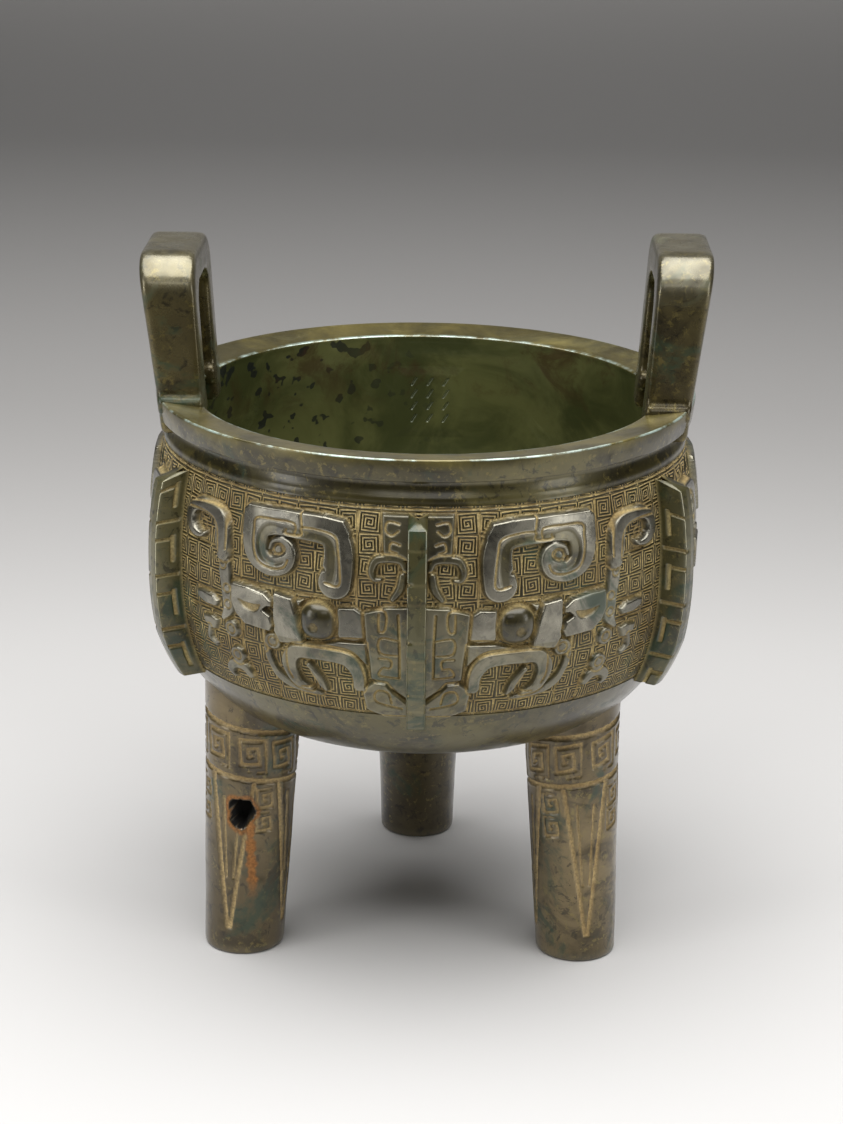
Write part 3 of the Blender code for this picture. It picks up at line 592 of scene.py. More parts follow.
LINES = [[(395, 376), (350, 388), (328, 372), (330, 310), (340, 225), (356, 170), (430, 150),
          (510, 150), (512, 184), (586, 188), (586, 170)],
         [(545, 184), (545, 138), (640, 134), (736, 142), (744, 190), (742, 270), (716, 330),
          (650, 350), (590, 338), (568, 300)],
         [(272, 454), (450, 452), (640, 450), (870, 446)], [(270, 60), (264, 250), (262, 440)],
         [(834, 60), (834, 250), (834, 446)], [(980, 330), (1080, 328), (1200, 322)],
         [(965, 536), (1060, 545), (1130, 540)], [(965, 640), (1060, 632), (1200, 640)],
         [(704, 660), (708, 760), (660, 900), (680, 1000)],
         [(830, 650), (838, 760), (800, 860), (790, 1000)],
         [(520, 88), (508, 150)], [(222, 850), (226, 780), (262, 706), (350, 682), (540, 684),
                                   (576, 704), (580, 800), (560, 850)],
         [(210, 484), (134, 488), (134, 570), (160, 576), (162, 500)],
         [(80, 620), (155, 612), (155, 680), (84, 690)],
         [(160, 706), (110, 712), (112, 752), (145, 752), (160, 790), (76, 800)],
         [(78, 500), (72, 640), (72, 800)],
         [(108, 925), (122, 872), (165, 862), (184, 892), (166, 926), (62, 952)],
         [(905, 320), (905, 250), (922, 168), (985, 140), (1080, 142), (1160, 156)],
         [(952, 340), (962, 240), (1000, 196), (1080, 180), (1180, 184)],
         [(80, 100), (130, 92), (140, 130), (112, 150), (84, 130)],
         [(76, 190), (112, 180), (120, 214), (88, 226)],
         [(225, 620), (330, 628), (420, 662), (500, 670)],
         [(480, 790), (440, 870), (520, 886)]]


def lift(carving, inside, top):
    """Raise one shape out of the ground, with a round shoulder and a sunk line round it."""
    height, soil, ground = carving
    rise = np.clip(inside / SHOULDER, 0, 1)
    dome = np.sqrt(1 - (1 - rise) ** 2)
    raised = np.maximum(height, (top + LEIWEN_DEPTH) * dome - LEIWEN_DEPTH)
    moat = np.clip(1 - np.abs(inside + 6.0) / 7.0, 0, 1)
    height = np.where(inside > 0, raised, height - 0.0004 * moat)
    clean = 1 - np.clip(inside / (SHOULDER * 0.8), 0, 1)
    soil = np.where(inside > 0, soil * clean, np.maximum(soil, moat))
    return height, soil, ground * np.clip(1 - (inside + 12.0) / 6.0, 0, 1)


def sink(carving, inside, depth, earth):
    """Sink a line or a hollow, and fill it with some earth."""
    height, soil, ground = carving
    return height - depth * inside, np.maximum(soil, earth * inside), ground * (1 - inside)


def mask_carving(gx, gy):
    """Height over the bowl's skin, earth, and where the ground of spirals shows."""
    carving = (-LEIWEN_DEPTH * leiwen(gx, gy), np.zeros(gx.shape), np.ones(gx.shape))
    for outline in (EYE_PLATE, NOSE, CROWN, LENS, BROW_CORNER, UPPER_JAW, BULB):
        carving = lift(carving, shape_depth(gx, gy, outline), LOW_RELIEF)
    for band in [BROW_BAND, BROW_HOOK, LIP_LINE, SIDE_STEM] + STEMS:
        carving = lift(carving, ribbon_depth(gx, gy, band), LOW_RELIEF)
    for x, y in VOLUTES:
        away = np.hypot(gx - x, gy - y)
        carving = lift(carving, 42.0 - away, LOW_RELIEF)
        carving = sink(carving, np.clip(1 - np.abs(away - 22.0) / 6.0, 0, 1), 0.0006, 1.0)
    for outline in (CHEEK, EAR, SNOUT):
        carving = lift(carving, shape_depth(gx, gy, outline), RELIEF)
    hollow = np.clip(ribbon_depth(gx, gy, EAR_HOLLOW) / 8.0, 0, 1)
    carving = sink(carving, hollow, 0.0009, 0.7)
    horn = np.maximum(ribbon_depth(gx, gy, HORN), shape_depth(gx, gy, HORN_TIP))
    horn = np.maximum(horn, shape_depth(gx, gy, HORN_FOOT))
    horn = np.minimum(horn, -shape_depth(gx, gy, HORN_NOTCH))
    carving = lift(carving, horn, RELIEF)
    carving = sink(carving, np.clip(ribbon_depth(gx, gy, HORN_INSIDE) / 16.0, 0, 1), 0.0005, 0.0)
    for band in (JAW, FANG, SIDE_BODY):
        carving = lift(carving, ribbon_depth(gx, gy, band), RELIEF)
    for x, y in RINGS:
        away = np.hypot(gx - x, gy - y)
        carving = sink(carving, np.clip(1 - np.abs(away - 20.0) / 6.0, 0, 1), 0.0006, 1.0)
    for line in LINES:
        depth = ribbon_depth(gx, gy, [(x, y, 6.5) for x, y in line], 4)
        carving = sink(carving, np.clip(depth / 5.0, 0, 1), 0.0007, 1.0)
    height, soil, ground = carving
    across = np.abs((gx - EYE_CENTRE[0]) / EYE_SIZE[0]) ** 2.6
    down = np.abs((gy - EYE_CENTRE[1]) / EYE_SIZE[1]) ** 2.6
    reach = (across + down) ** (1 / 2.6)
    moat = np.clip(1 - np.abs(reach - 1.08) / 0.13, 0, 1)
    height = np.where(reach > 1, height - 0.0009 * moat, height)
    soil = np.maximum(soil, moat)
    ball = EYE_HEIGHT * np.sqrt(np.clip(1 - reach ** 2.4, 0, 1))
    height = np.where(reach < 1, np.maximum(ball, -0.0004), height)
    soil = np.where(reach < 1, np.clip(reach * 5 - 4.2, 0, 1), soil)
    pupil = np.hypot(gx - EYE_CENTRE[0] - 8, gy - EYE_CENTRE[1] - 20) / PUPIL_SIZE
    height = np.where(pupil < 1, height - 0.0010 * np.sqrt(np.clip(1 - pupil ** 2, 0, 1)), height)
    soil = np.where(pupil < 1, 0.8 * (1 - pupil ** 3), soil)
    ground = ground * (reach > 1.15)
    for level in (GRID_TOP + 10.0, GRID_BOTTOM - 8.0):
        rule = np.clip(1 - np.abs(gy - level) / RULE_HALF, 0, 1)
        height, soil, ground = sink((height, soil, ground), rule, 0.0005, 1.0)
    return height, soil, ground


def mask_panel(axis, side, spacing):
    """One half mask as a carved sheet on the bowl; spacing is the mesh's pitch in metres."""
    over = 0.0006
    columns = int(BELLY_RADIUS * math.radians(60.0) / spacing)
    rows = int((PANEL_TOP - PANEL_BOTTOM) / spacing)
    levels = np.linspace(PANEL_TOP + over, PANEL_BOTTOM - over, rows)
    across = np.linspace(0, GRID_WIDTH, columns)
    share = (PANEL_TOP - levels) / (PANEL_TOP - PANEL_BOTTOM)
    gx, gy = np.meshgrid(across, GRID_TOP + (GRID_BOTTOM - GRID_TOP) * share)
    height, soil, ground = mask_carving(gx, gy)
    border = np.clip(np.minimum(gy - GRID_TOP + 8, GRID_BOTTOM + 8 - gy) / 8.0, 0, 1)
    height = height * border - PANEL_BED * (1 - border)
    bearing = math.radians(axis) + side * np.radians(60.0) * gx / GRID_WIDTH
    levels = levels[:, None] + 0 * gx
    radius = bowl_radius(levels)
    flat_x, flat_y = radius * np.sin(bearing), -radius * np.cos(bearing)
    radius = radius + height + swell(flat_x, flat_y, levels) * UNEVEN
    points = np.stack([radius * np.sin(bearing), -radius * np.cos(bearing), levels], axis=-1)
    edge = height - blur(height, max(2, int(0.0009 / spacing)))
    wear_and_highlight = np.clip(edge / 0.0006, 0, 1) * (height > 0.0004) * 0.35
    proud = np.clip((height - 0.0003) / 0.0008, 0, 1) * (1 - np.clip(soil, 0, 1))
    rubbed = np.where(gx < NOSE_SIDE, 0.22, np.where(gy > JAW_TOP, 0.55, 1.0))
    rubbed = rubbed * (1 - 0.80 * np.clip(ribbon_depth(gx, gy, HORN_INSIDE) / 12.0, 0, 1))
    eye_reach = np.hypot((gx - EYE_CENTRE[0]) / 88.0, (gy - EYE_CENTRE[1]) / 94.0)
    proud = proud * rubbed * (eye_reach > 1)
    wear_and_highlight = wear_and_highlight * (eye_reach > 1)
    eye_dark_and_hole_shade = EYE_DARK * (np.hypot((gx - EYE_CENTRE[0]) / 78.0, (gy - EYE_CENTRE[1]) / 84.0) < 1)
    fields = {"earth": np.clip(soil, 0, 1), "wear_and_highlight": wear_and_highlight, "proud": proud, "ground": ground,
              "eye_dark_and_hole_shade": eye_dark_and_hole_shade, "across": gx, "down": gy}
    if side > 0:
        points = points[::-1]
        fields = {key: values[::-1] for key, values in fields.items()}
    return points, fields


finish = patina("mask_bronze", SKIN, LIGHT_SKIN, GREEN, EARTH, green_cover=0.60,
                lines=leiwen_lines)
FINE_PITCH = 0.00029
COARSE_PITCH = 0.00058
for axis, where in ((0.0, "front"), (120.0, "right"), (240.0, "left")):
    for side in (-1, 1):
        spacing = FINE_PITCH if axis == 0.0 else COARSE_PITCH
        points, fields = mask_panel(axis, side, spacing)
        name = f"mask_{where}_{'a' if side < 0 else 'b'}"
        place(name, sheet_mesh(name, points, False, fields), finish.material)

# Flanges
# Six upright hooked flanges cast over the mould seams. Both faces have sunk lines: full
# notches, and between them hooks that run in from the edge and turn down.
FLANGE_THICKNESS = 0.0064
FLANGE_REACH = 0.0099
FLANGE_TOP = 0.1838
FLANGE_BOTTOM = 0.1090
FLANGE_ROOT = 0.0025
FLANGE_ROUND = 0.0008
NOTCH_PITCH = 0.0197
LINE_HALF = 0.00055
LINE_DEPTH = 0.0008
LINE_SOFT = 0.0003             # width over which a sunk line's edge rounds off
NOTCH_GAP = 0.0010             # a notch stops this short of the bowl
HOOK_RISE = 0.0130             # a hook's level above the notch under it
HOOK_STEM = 0.36               # share of the reach at which the hook turns down
HOOK_DROP = 0.0082
TOP_FALL = 0.0030              # the flange's top falls outwards by this
FLANGE_NOTCH = {0: 0.1632, 60: 0.1600, 120: 0.1632, 180: 0.1632, 240: 0.1632, 300: 0.1668}


def flange_outer(level):
    """Radius of a flange's outer edge at each height."""
    low = FLANGE_BOTTOM + 0.22 * (FLANGE_TOP - FLANGE_BOTTOM)
    draw_in = np.clip((low - level) / (low - FLANGE_BOTTOM), 0, 1)
    return bowl_radius(level) + FLANGE_REACH * (1 - 0.20 * draw_in)


def flange_sheet(bearing, spacing):
    """Cross sections round a flange, stacked from its foot to its top."""
    levels = np.arange(FLANGE_BOTTOM, FLANGE_TOP, spacing)
    levels = np.concatenate([[FLANGE_BOTTOM] * 2, levels, [FLANGE_TOP] * 2])
    closing = np.ones(len(levels))
    closing[[0, -1]] = 0.02
    face = int((FLANGE_REACH + FLANGE_ROOT) / spacing)
    edge = int(FLANGE_THICKNESS / spacing)
    half = FLANGE_THICKNESS / 2
    root = bowl_radius(levels)[:, None] - FLANGE_ROOT
    outer = flange_outer(levels)[:, None]
    out_run = np.linspace(0, 1, face)[None]
    out = np.concatenate([root + (outer - root) * out_run,
                          outer + np.zeros((1, edge)),
                          root + (outer - root) * out_run[:, ::-1]], axis=1)
    side = np.concatenate([np.full(face, -half), np.linspace(-half, half, edge),
                           np.full(face, half)])[None] + 0 * out
    corner = np.clip(out - (outer - FLANGE_ROUND), 0, FLANGE_ROUND) / FLANGE_ROUND
    side = side * (1 - 0.08 * corner ** 3)
    nub = np.clip(1 - np.abs(side) / half, 0, 1)
    out = out + 0.0003 * nub * corner
    first = FLANGE_NOTCH[bearing]
    level = levels[:, None] + 0 * out
    skin = bowl_radius(level)
    steps = (first - level) / NOTCH_PITCH
    nearest = np.clip(np.round(steps), 0, 2)
    full = np.abs(level - (first - nearest * NOTCH_PITCH))
    line = np.clip((LINE_HALF - full) / LINE_SOFT + 0.5, 0, 1) * (out > skin + NOTCH_GAP)
    hook_step = np.clip(np.round(steps + 0.66), 0, 3)
    hook_level = first + HOOK_RISE - hook_step * NOTCH_PITCH
    stem = skin + FLANGE_REACH * HOOK_STEM
    bar = np.clip((LINE_HALF - np.abs(level - hook_level)) / LINE_SOFT + 0.5, 0, 1) * (out > stem)
    drop = np.clip((LINE_HALF * 1.2 - np.abs(out - stem)) / LINE_SOFT + 0.5, 0, 1)
    drop = drop * (level < hook_level + 0.0012) * (level > hook_level - HOOK_DROP)
    groove = np.maximum(np.maximum(line, bar), drop) * (level < FLANGE_TOP - 0.001)
    on_edge = np.zeros(out.shape)
    on_edge[:, face:face + edge] = 1
    side = side * (1 - groove * (1 - on_edge) * LINE_DEPTH / half)
    out = out - 0.0003 * line * on_edge * (side < -half * 0.45)
    middle = (root + outer) / 2
    out = middle + (out - middle) * closing[:, None]
    side = side * closing[:, None]
    top_slope = TOP_FALL * np.clip((level - FLANGE_TOP + 0.02) / 0.02, 0, 1)
    up = level - top_slope * np.clip((out - skin) / FLANGE_REACH, 0, 1)
    angle = math.radians(bearing)
    points = np.stack([out * math.sin(angle) + side * math.cos(angle),
                       -out * math.cos(angle) + side * math.sin(angle), up], axis=-1)
    # Pale tone on the flange's rounded corners: wear, and painted highlight along the edges.
    wear_and_highlight = corner ** 2 * 0.40 * (1 - groove) * (1 - on_edge)
    earth = groove * (1 - 0.9 * on_edge) + 0.7 * np.clip(1 - (out - skin) / 0.0012, 0, 1)
    return points, {"earth": np.clip(earth, 0, 1), "wear_and_highlight": wear_and_highlight}


FLANGE_SKIN = colour(0.075, 0.068, 0.024)
FLANGE_LIGHT = colour(0.140, 0.126, 0.056)
FLANGE_EARTH = colour(0.60, 0.48, 0.21)
finish = patina("flange_bronze", FLANGE_SKIN, FLANGE_LIGHT, GREEN, FLANGE_EARTH, green_cover=0.54)
FRONT_FLANGE_PITCH = 0.00037
BACK_FLANGE_PITCH = 0.0006
for bearing in FLANGE_NOTCH:
    spacing = FRONT_FLANGE_PITCH if bearing in (0, 60, 300) else BACK_FLANGE_PITCH
    points, fields = flange_sheet(bearing, spacing)
    name = f"flange_{bearing}"
    place(name, sheet_mesh(name, points, False, fields), finish.material)

# Legs
# Three round legs, cast round clay cores, straight and slightly tapered, with a band of
# spirals under the bowl and long hanging blades. The left one has a hole broken into it.
# The back leg is painted darker, as shade under the bowl.
LEG_CIRCLE = 0.0704
LEG_SHIFT = -0.0025
LEG_TOP_RADIUS = 0.0168
LEG_FOOT_RADIUS = 0.0144
LEG_LEAN = 0.0039
LEG_TAPER_TOP = 0.0770
LEG_TOP = 0.1090
FOOT_ROUNDING = 0.0014
HOLE_SIZE = (0.0090, 0.0105)
HOLE_HEIGHT = 0.0562
HOLE_BEARING = 53.0
HOLE_DEPTH = 0.0085
LEG_LINE = 0.0008
LEG_LINE_DEPTH = 0.0009
LEG_BULGE = 0.00022
LEG_PITCH = 0.00056            # pitch of the carved legs' mesh
PLAIN_LEG_PITCH = 0.0011
BAND_LOW = 0.0700              # rules over and under the band of spirals
BAND_HIGH = 0.0890
BAND_MIDDLE = 0.0800
BAND_BOW = 0.16                # the band rises across the leg by this slope
BAND_SPIRAL = (0.0058, 0.0066)
BLADE_TIP = 0.0100
BLADE_LENGTH = 0.0590
SIDE_SPIRAL = (0.0040, 0.0042)
SIDE_SPIRAL_LEVELS = (0.0625, 0.0535)
RUST_LENGTH = 0.0340           # how far the streak runs down from the hole


def leg_rule(bearing, middle, fine):
    """A leg as rings from the ground up, with its carving as a field on the skin."""
    spacing = LEG_PITCH if fine else PLAIN_LEG_PITCH
    foot = np.linspace(0, math.pi / 2, 6)
    levels = np.concatenate([[0.0, 0.0, 0.0], FOOT_ROUNDING * (1 - np.cos(foot)),
                             np.arange(FOOT_ROUNDING + spacing, LEG_TOP, spacing)])
    share = np.clip(levels / LEG_TAPER_TOP, 0, 1)
    radius = LEG_FOOT_RADIUS + (LEG_TOP_RADIUS - LEG_FOOT_RADIUS) * share
    radius[0:3] = [0.0004, LEG_FOOT_RADIUS * 0.5, LEG_FOOT_RADIUS - FOOT_ROUNDING]
    radius[3:9] = LEG_FOOT_RADIUS - FOOT_ROUNDING + FOOT_ROUNDING * np.sin(foot)
    sides = int(math.tau * LEG_TOP_RADIUS / spacing)
    round_it = np.linspace(0, math.tau, sides, endpoint=False)
    turn, level = np.meshgrid(round_it, levels)
    radius = radius[:, None] + 0 * turn
    x = ((turn - math.radians(bearing + middle) + math.pi) % math.tau - math.pi) * LEG_TOP_RADIUS
    depth, soil, eye_dark_and_hole_shade, rust = [np.zeros(turn.shape)] * 4
    if fine:
        depth, soil, eye_dark_and_hole_shade, rust = leg_carving(x, level, bearing)
    radius = radius - depth
    centre = LEG_CIRCLE - LEG_LEAN * np.clip(level / LEG_TAPER_TOP, 0, 1)
    angle = math.radians(bearing)
    px = centre * math.sin(angle) + LEG_SHIFT + radius * np.sin(turn)
    py = -centre * math.cos(angle) - radius * np.cos(turn)
    on_skin = (np.arange(len(levels)) > 8)[:, None]
    bulge = swell(px * 1.4, py * 1.4, level) * LEG_BULGE * on_skin
    px, py = px + bulge * np.sin(turn), py - bulge * np.cos(turn)
    wear_and_highlight = 0.25 * np.clip(1 - level / 0.004, 0, 1)
    fields = {"earth": soil, "wear_and_highlight": wear_and_highlight, "eye_dark_and_hole_shade": eye_dark_and_hole_shade, "rust": rust}
    return np.stack([px, py, level], axis=-1), fields


def leg_carving(x, level, bearing):
    """Depth of the sunk lines on a decorated leg; x runs round it, in metres."""
    def line(distance, width=LEG_LINE):
        return np.clip((width - np.abs(distance)) / 0.0004 + 0.5, 0, 1)

    tilt = 1.0 if bearing > 0 else -1.0
    bow = tilt * x * BAND_BOW
    cut = line(level - BAND_HIGH - bow)
    cut = np.maximum(cut, line(level - BAND_LOW - bow * 0.8))
    pitch = math.tau * LEG_TOP_RADIUS / 4
    local = (x + pitch / 2) % pitch - pitch / 2
    band = (level < BAND_HIGH - 0.0010 + bow) & (level > BAND_LOW + 0.0012 + bow * 0.8)
    for offset in (-0.5, 0.5):
        a = (local - offset * pitch * 0.52) / BAND_SPIRAL[0]
        b = (level - BAND_MIDDLE - bow) / BAND_SPIRAL[1]
        spiral = cut_spiral(a, b, 2.0)
        cut = np.maximum(cut, spiral * band * (np.maximum(np.abs(a), np.abs(b)) < 1))
    low = level < BLADE_TIP + BLADE_LENGTH + bow * 0.8
    blade = np.clip((level - BLADE_TIP) / BLADE_LENGTH, 0, 1)
    half = 0.0005 + pitch * 0.30 * blade
    cut = np.maximum(cut, line(np.abs(local) - half) * low * (level > BLADE_TIP))
    cut = np.maximum(cut, line(np.abs(local) - half * 0.45, 0.0004) * low * (level > 0.030)
                     * (level < 0.062))
    for row in SIDE_SPIRAL_LEVELS:
        a = ((x % pitch) - pitch / 2) / SIDE_SPIRAL[0]
        b = (level - row - bow * 0.6) / SIDE_SPIRAL[1]
        spiral = cut_spiral(a, b, 1.6)
        cut = np.maximum(cut, spiral * (np.maximum(np.abs(a), np.abs(b)) < 1) * low)
    depth, soil = cut * LEG_LINE_DEPTH, cut * 0.95
    eye_dark_and_hole_shade, rust = np.zeros(x.shape), np.zeros(x.shape)
    if bearing < 0:
        across = (x + math.radians(40.0 - HOLE_BEARING) * LEG_TOP_RADIUS) / (HOLE_SIZE[0] / 2)
        up = (level - HOLE_HEIGHT) / (HOLE_SIZE[1] / 2)
        turn = np.arctan2(up, across)
        ragged = 1 + 0.10 * np.sin(3 * turn + 0.6) + 0.07 * np.sin(5 * turn + 2.0)
        reach = np.hypot(across, up) / ragged
        fallen = HOLE_DEPTH * np.clip((1.05 - reach) / 0.10, 0, 1) ** 0.6
        depth = np.where(reach < 1.05, fallen, depth)
        soil = np.where(reach < 1.14, 0.0, soil)
        # Painted shade: the hole's inside is coloured near-black in place of the shade within the
        # hollow leg.
        eye_dark_and_hole_shade = np.clip((1.14 - reach) / 0.05, 0, 1)
        fall = (HOLE_HEIGHT - level) / RUST_LENGTH
        away = np.abs(across * HOLE_SIZE[0] / 2 - 0.0030 - 0.0030 * fall)
        ragged = 0.0017 + 0.0004 * np.sin(level * 900) + 0.0003 * np.sin(level * 2100 + 1)
        streak = np.clip((ragged - away) / 0.0007 + 0.5, 0, 1)
        rust = streak * (fall > -0.1) * np.clip((1 - fall) * 4, 0, 1)
        rust = np.maximum(rust, np.clip((1.50 - reach) / 0.14, 0, 0.9))
        rust = rust * (reach > 1.14)
        soil = soil * (1 - rust)
    return depth, soil, eye_dark_and_hole_shade, rust


def cut_spiral(a, b, turns):
    """One square spiral cut as a firm line."""
    return np.clip(spiral_wave(a, b, turns) * 2.2 - 1.1, 0, 1)


LEG_SKIN = colour(0.082, 0.058, 0.021)
LEG_LIGHT = colour(0.190, 0.140, 0.062)
LEG_EARTH = colour(0.62, 0.46, 0.22)
# The back leg takes darker copies of the front legs' colours: painted shade for the leg standing
# under the bowl.
SHADED_BACK_LEG_SKIN = colour(0.040, 0.028, 0.009)
SHADED_BACK_LEG_LIGHT = colour(0.075, 0.056, 0.020)
SHADED_BACK_LEG_EARTH = colour(0.40, 0.31, 0.17)
front_legs = patina("leg_bronze", LEG_SKIN, LEG_LIGHT, GREEN, LEG_EARTH, green_cover=0.62,
                    shine=0.30, metal=0.60)
shaded_back_leg = patina("shaded_back_leg_bronze", SHADED_BACK_LEG_SKIN, SHADED_BACK_LEG_LIGHT, GREEN, SHADED_BACK_LEG_EARTH,
                  green_cover=0.64, shine=0.34)
for bearing, middle, name in ((-60, 40.0, "leg_left"), (60, -45.0, "leg_right"),
                              (180, 0.0, "leg_back")):
    points, fields = leg_rule(bearing, middle, bearing != 180)
    finish = shaded_back_leg if bearing == 180 else front_legs
    place(name, sheet_mesh(name, points, True, fields), finish.material)

# Handles
# Two upright loops on the lip, cast in place over it, square in section with worn edges and
# flaring a little outwards. Their tops carry a painted highlight in the pale wear tone.
HANDLE_TOP = 0.2540
HANDLE_WIDTH = 0.0576
HANDLE_THICKNESS = 0.0172
HANDLE_BAR = 0.0125
HANDLE_POST = 0.0118
HANDLE_CORNER = 0.0135
LOOP_CORNER = 0.0075
HANDLE_ROOT_RADIUS = 0.0848
HANDLE_FLARE = 0.0048
HANDLE_SINK = 0.0120
HANDLE_EDGE = 0.0023
HANDLE_TAPER = (0.95, 0.20)    # share of the thickness at the lip, and its gain at the top
HANDLE_TALLER = {-1: -0.0010, 1: 0.0015}    # the two castings aren't quite alike
HANDLE_MESH = 0.0010
FOOT_HEIGHT = 0.0035
FOOT_SPREAD = 0.0016


def handle_outline():
    half = HANDLE_WIDTH / 2
    low = RIM_HEIGHT - HANDLE_SINK
    shoulder = HANDLE_TOP - HANDLE_CORNER
    outline = arc_points((half - HANDLE_CORNER, shoulder), HANDLE_CORNER, 0, 90, 10)
    outline += arc_points((HANDLE_CORNER - half, shoulder), HANDLE_CORNER, 90, 180, 10)
    inside = half - HANDLE_POST
    ceiling = HANDLE_TOP - HANDLE_BAR - LOOP_CORNER
    inner = arc_points((LOOP_CORNER - inside, ceiling), LOOP_CORNER, 180, 90, 9)
    inner += arc_points((inside - LOOP_CORNER, ceiling), LOOP_CORNER, 90, 0, 9)
    return [(half, low)] + outline + [(-half, low), (-inside, low)] + inner + [(inside, low)]


def handle_mesh(side):
    """The loop as a solid, remeshed evenly, with rounded edges and a soft foot."""
    curve = bpy.data.curves.new("handle_outline", "CURVE")
    curve.dimensions = "2D"
    curve.fill_mode = "BOTH"
    curve.extrude = HANDLE_THICKNESS / 2 - HANDLE_EDGE
    curve.bevel_depth = HANDLE_EDGE
    curve.bevel_resolution = 3
    curve.offset = -HANDLE_EDGE
    spline = curve.splines.new("POLY")
    outline = handle_outline()
    spline.points.add(len(outline) - 1)
    for point, (x, y) in zip(spline.points, outline):
        point.co = (x, y, 0, 1)
    spline.use_cyclic_u = True
    source = bpy.data.objects.new("handle_outline", curve)
    bpy.context.scene.collection.objects.link(source)
    remesh = source.modifiers.new("Even", "REMESH")
    remesh.mode = "VOXEL"
    remesh.voxel_size = HANDLE_MESH
    soften = source.modifiers.new("Soften", "SMOOTH")
    soften.iterations = 3
    bpy.context.view_layer.update()
    graph = bpy.context.evaluated_depsgraph_get()
    mesh = bpy.data.meshes.new_from_object(source.evaluated_get(graph))
    bpy.data.objects.remove(source, do_unlink=True)
    mesh.materials.clear()
    points = np.empty(len(mesh.vertices) * 3, np.float32)
    mesh.vertices.foreach_get("co", points)
    x, y, z = points.reshape(-1, 3).astype(float).T
    rise = (y - RIM_HEIGHT) / (HANDLE_TOP - RIM_HEIGHT)
    foot = np.clip(1 - (y - RIM_HEIGHT) / FOOT_HEIGHT, 0, 1) ** 2 * (y > RIM_HEIGHT - 0.004)
    spread = FOOT_SPREAD * foot
    centre = HANDLE_WIDTH / 2 - HANDLE_POST / 2
    x = x + spread * np.sign(np.abs(x) - centre) * np.sign(x)
    thick = HANDLE_TAPER[0] + HANDLE_TAPER[1] * np.clip(rise, 0, 1)
    y = y + HANDLE_TALLER[side] * np.clip(rise, 0, 1)
    middle = HANDLE_ROOT_RADIUS + HANDLE_FLARE * rise
    uneven = thick * (1 + 0.010 * swell((middle + z) * 2, x * 2, y))
    out = middle + z * uneven
    moved = np.stack([side * out, x, y], axis=-1)
    edge = 0.35 * np.clip((np.abs(z) / (HANDLE_THICKNESS / 2) - 0.90) / 0.08, 0, 1)
    # Painted highlight: the band along the handle's top takes the pale wear tone where the
    # overhead light's sheen falls.
    top = 0.50 * np.clip((y - HANDLE_TOP + 0.016) / 0.010, 0, 1)
    top = top * (np.abs(z) < HANDLE_THICKNESS / 2) * (0.75 + 0.5 * swell(x * 5, z * 5, y))
    mesh.vertices.foreach_set("co", moved.reshape(-1).astype(np.float32))
    wear_and_highlight = mesh.attributes.new("wear_and_highlight", "FLOAT", "POINT")
    wear_and_highlight.data.foreach_set("value", np.maximum(edge, top).astype(np.float32))
    if side < 0:
        mesh.flip_normals()
    mesh.update()
    return mesh


HANDLE_SKIN = colour(0.060, 0.046, 0.016)
HANDLE_LIGHT = colour(0.120, 0.096, 0.034)
finish = patina("handle_bronze", HANDLE_SKIN, HANDLE_LIGHT, GREEN, EARTH, green_cover=0.58,
                shine=0.26, metal=0.70, gloss=0.60)
for side, name in ((-1, "handle_left"), (1, "handle_right")):
    place(name, handle_mesh(side), finish.material)

# Floor and backdrop
# A pale studio sweep: a flat floor that curves up behind the vessel. Painted shade darkens it
# towards the back and, outside the picture, in front, where the real studio is unlit; painted
# light brightens the upright backdrop.
SWEEP_FRONT = -1.60
SWEEP_DEPTH = 1.70
SWEEP_RADIUS = 1.00
SWEEP_HALF = 3.0
SWEEP_TOP = 3.0
NEAR_PAPER = colour(0.560, 0.551, 0.542)
SHADED_FAR_PAPER = colour(0.330, 0.321, 0.313)
LIT_BACKDROP = colour(0.790, 0.768, 0.742)
UNLIT = colour(0.080, 0.078, 0.075)
sweep = [(SWEEP_FRONT, 0.0)]
for angle in np.linspace(0, math.pi / 2, 24):
    sweep.append((SWEEP_DEPTH + SWEEP_RADIUS * math.sin(angle),
                  SWEEP_RADIUS * (1 - math.cos(angle))))
sweep.append((SWEEP_DEPTH + SWEEP_RADIUS, SWEEP_TOP))
rows = np.array([[(x, y, z) for x in (-SWEEP_HALF, SWEEP_HALF)] for y, z in sweep])
floor_mesh = sheet_mesh("studio_floor", rows, uv=False)
floor_finish = Finish("studio_paper")
depth_axis, height_axis = object_axes(floor_finish)[1:]
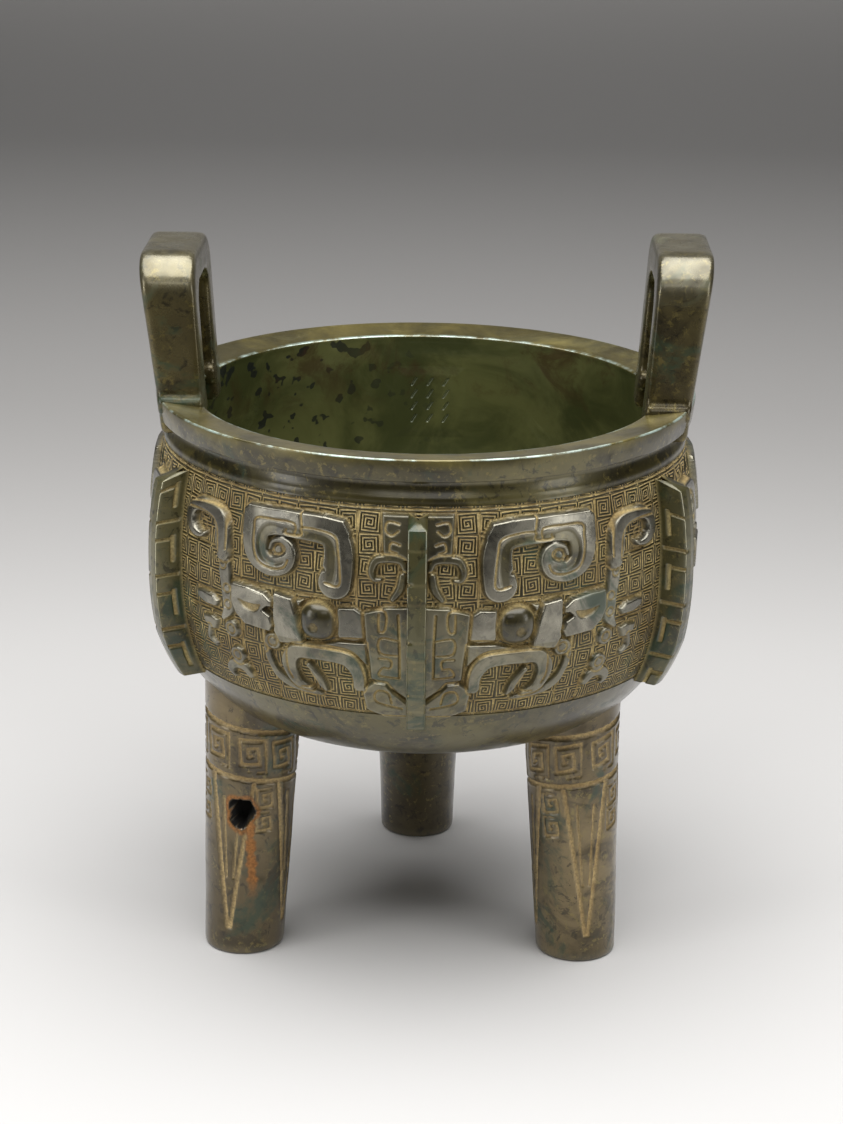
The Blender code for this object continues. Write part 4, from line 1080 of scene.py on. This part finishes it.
# Painted shade and light: the paper darkens towards the back, is paler on the upright backdrop,
# and is near-black in front.
paper_with_painted_light = floor_finish.blend(depth_axis.over(-0.16, 0.76), NEAR_PAPER, SHADED_FAR_PAPER)
paper_with_painted_light = floor_finish.blend(height_axis.over(0.0, 0.30), paper_with_painted_light, LIT_BACKDROP)
paper_with_painted_light = floor_finish.blend(depth_axis.over(-0.85, -0.24), UNLIT, paper_with_painted_light)
floor_finish.feed(floor_finish.shader.inputs["Base Color"], paper_with_painted_light)
floor_finish.shader.inputs["Roughness"].default_value = 0.9
floor_mesh.materials.append(floor_finish.material)
floor_mesh.shade_smooth()
studio_floor = bpy.data.objects.new("studio_floor", floor_mesh)
bpy.context.scene.collection.objects.link(studio_floor)

# Light and camera
# Soft boxes above and to both sides, and the photograph's viewpoint.
CAMERA_PLACE = (0.01738, -0.91882, 0.44419)
CAMERA_DOWN = 18.56
CAMERA_HEADING = 1.125
CAMERA_ROLL = 0.762
LENS = 85.0


def soft_box(name, spot, target, size, power):
    light = bpy.data.lights.new(name, "AREA")
    light.shape = "RECTANGLE"
    light.size, light.size_y = size
    light.energy = power
    lamp = bpy.data.objects.new(name, light)
    bpy.context.scene.collection.objects.link(lamp)
    lamp.location = spot
    aim = Vector(target) - Vector(spot)
    lamp.rotation_euler = aim.to_track_quat("-Z", "Y").to_euler()


soft_box("overhead", (0.0, -0.14, 1.25), (0.0, -0.02, 0.1), (1.9, 1.55), 42.5)
soft_box("left_box", (-1.00, -0.62, 0.34), (0.0, 0.0, 0.16), (0.3, 0.6), 2.4)
soft_box("right_box", (1.00, -0.60, 0.34), (0.0, 0.0, 0.16), (0.3, 0.6), 2.0)
soft_box("front_box", (0.0, -1.6, 1.05), (0.0, 0.0, 0.12), (1.2, 0.4), 2.8)
world = bpy.data.worlds.new("studio_air")
bpy.context.scene.world = world
world.use_nodes = True
world.node_tree.nodes["Background"].inputs["Color"].default_value = colour(0.80, 0.81, 0.83)
world.node_tree.nodes["Background"].inputs["Strength"].default_value = 0.035

camera_data = bpy.data.cameras.new("camera")
camera_data.lens = LENS
camera_data.sensor_width = 36.0
camera_data.sensor_fit = "AUTO"
camera_data.clip_start = 0.05
camera = bpy.data.objects.new("camera", camera_data)
bpy.context.scene.collection.objects.link(camera)
turn_to = (Matrix.Rotation(math.radians(CAMERA_HEADING), 4, "Z")
           @ Matrix.Rotation(math.radians(90.0 - CAMERA_DOWN), 4, "X")
           @ Matrix.Rotation(math.radians(CAMERA_ROLL), 4, "Z"))
camera.matrix_world = Matrix.Translation(CAMERA_PLACE) @ turn_to
bpy.context.scene.camera = camera
bpy.context.scene.view_settings.view_transform = "Standard"
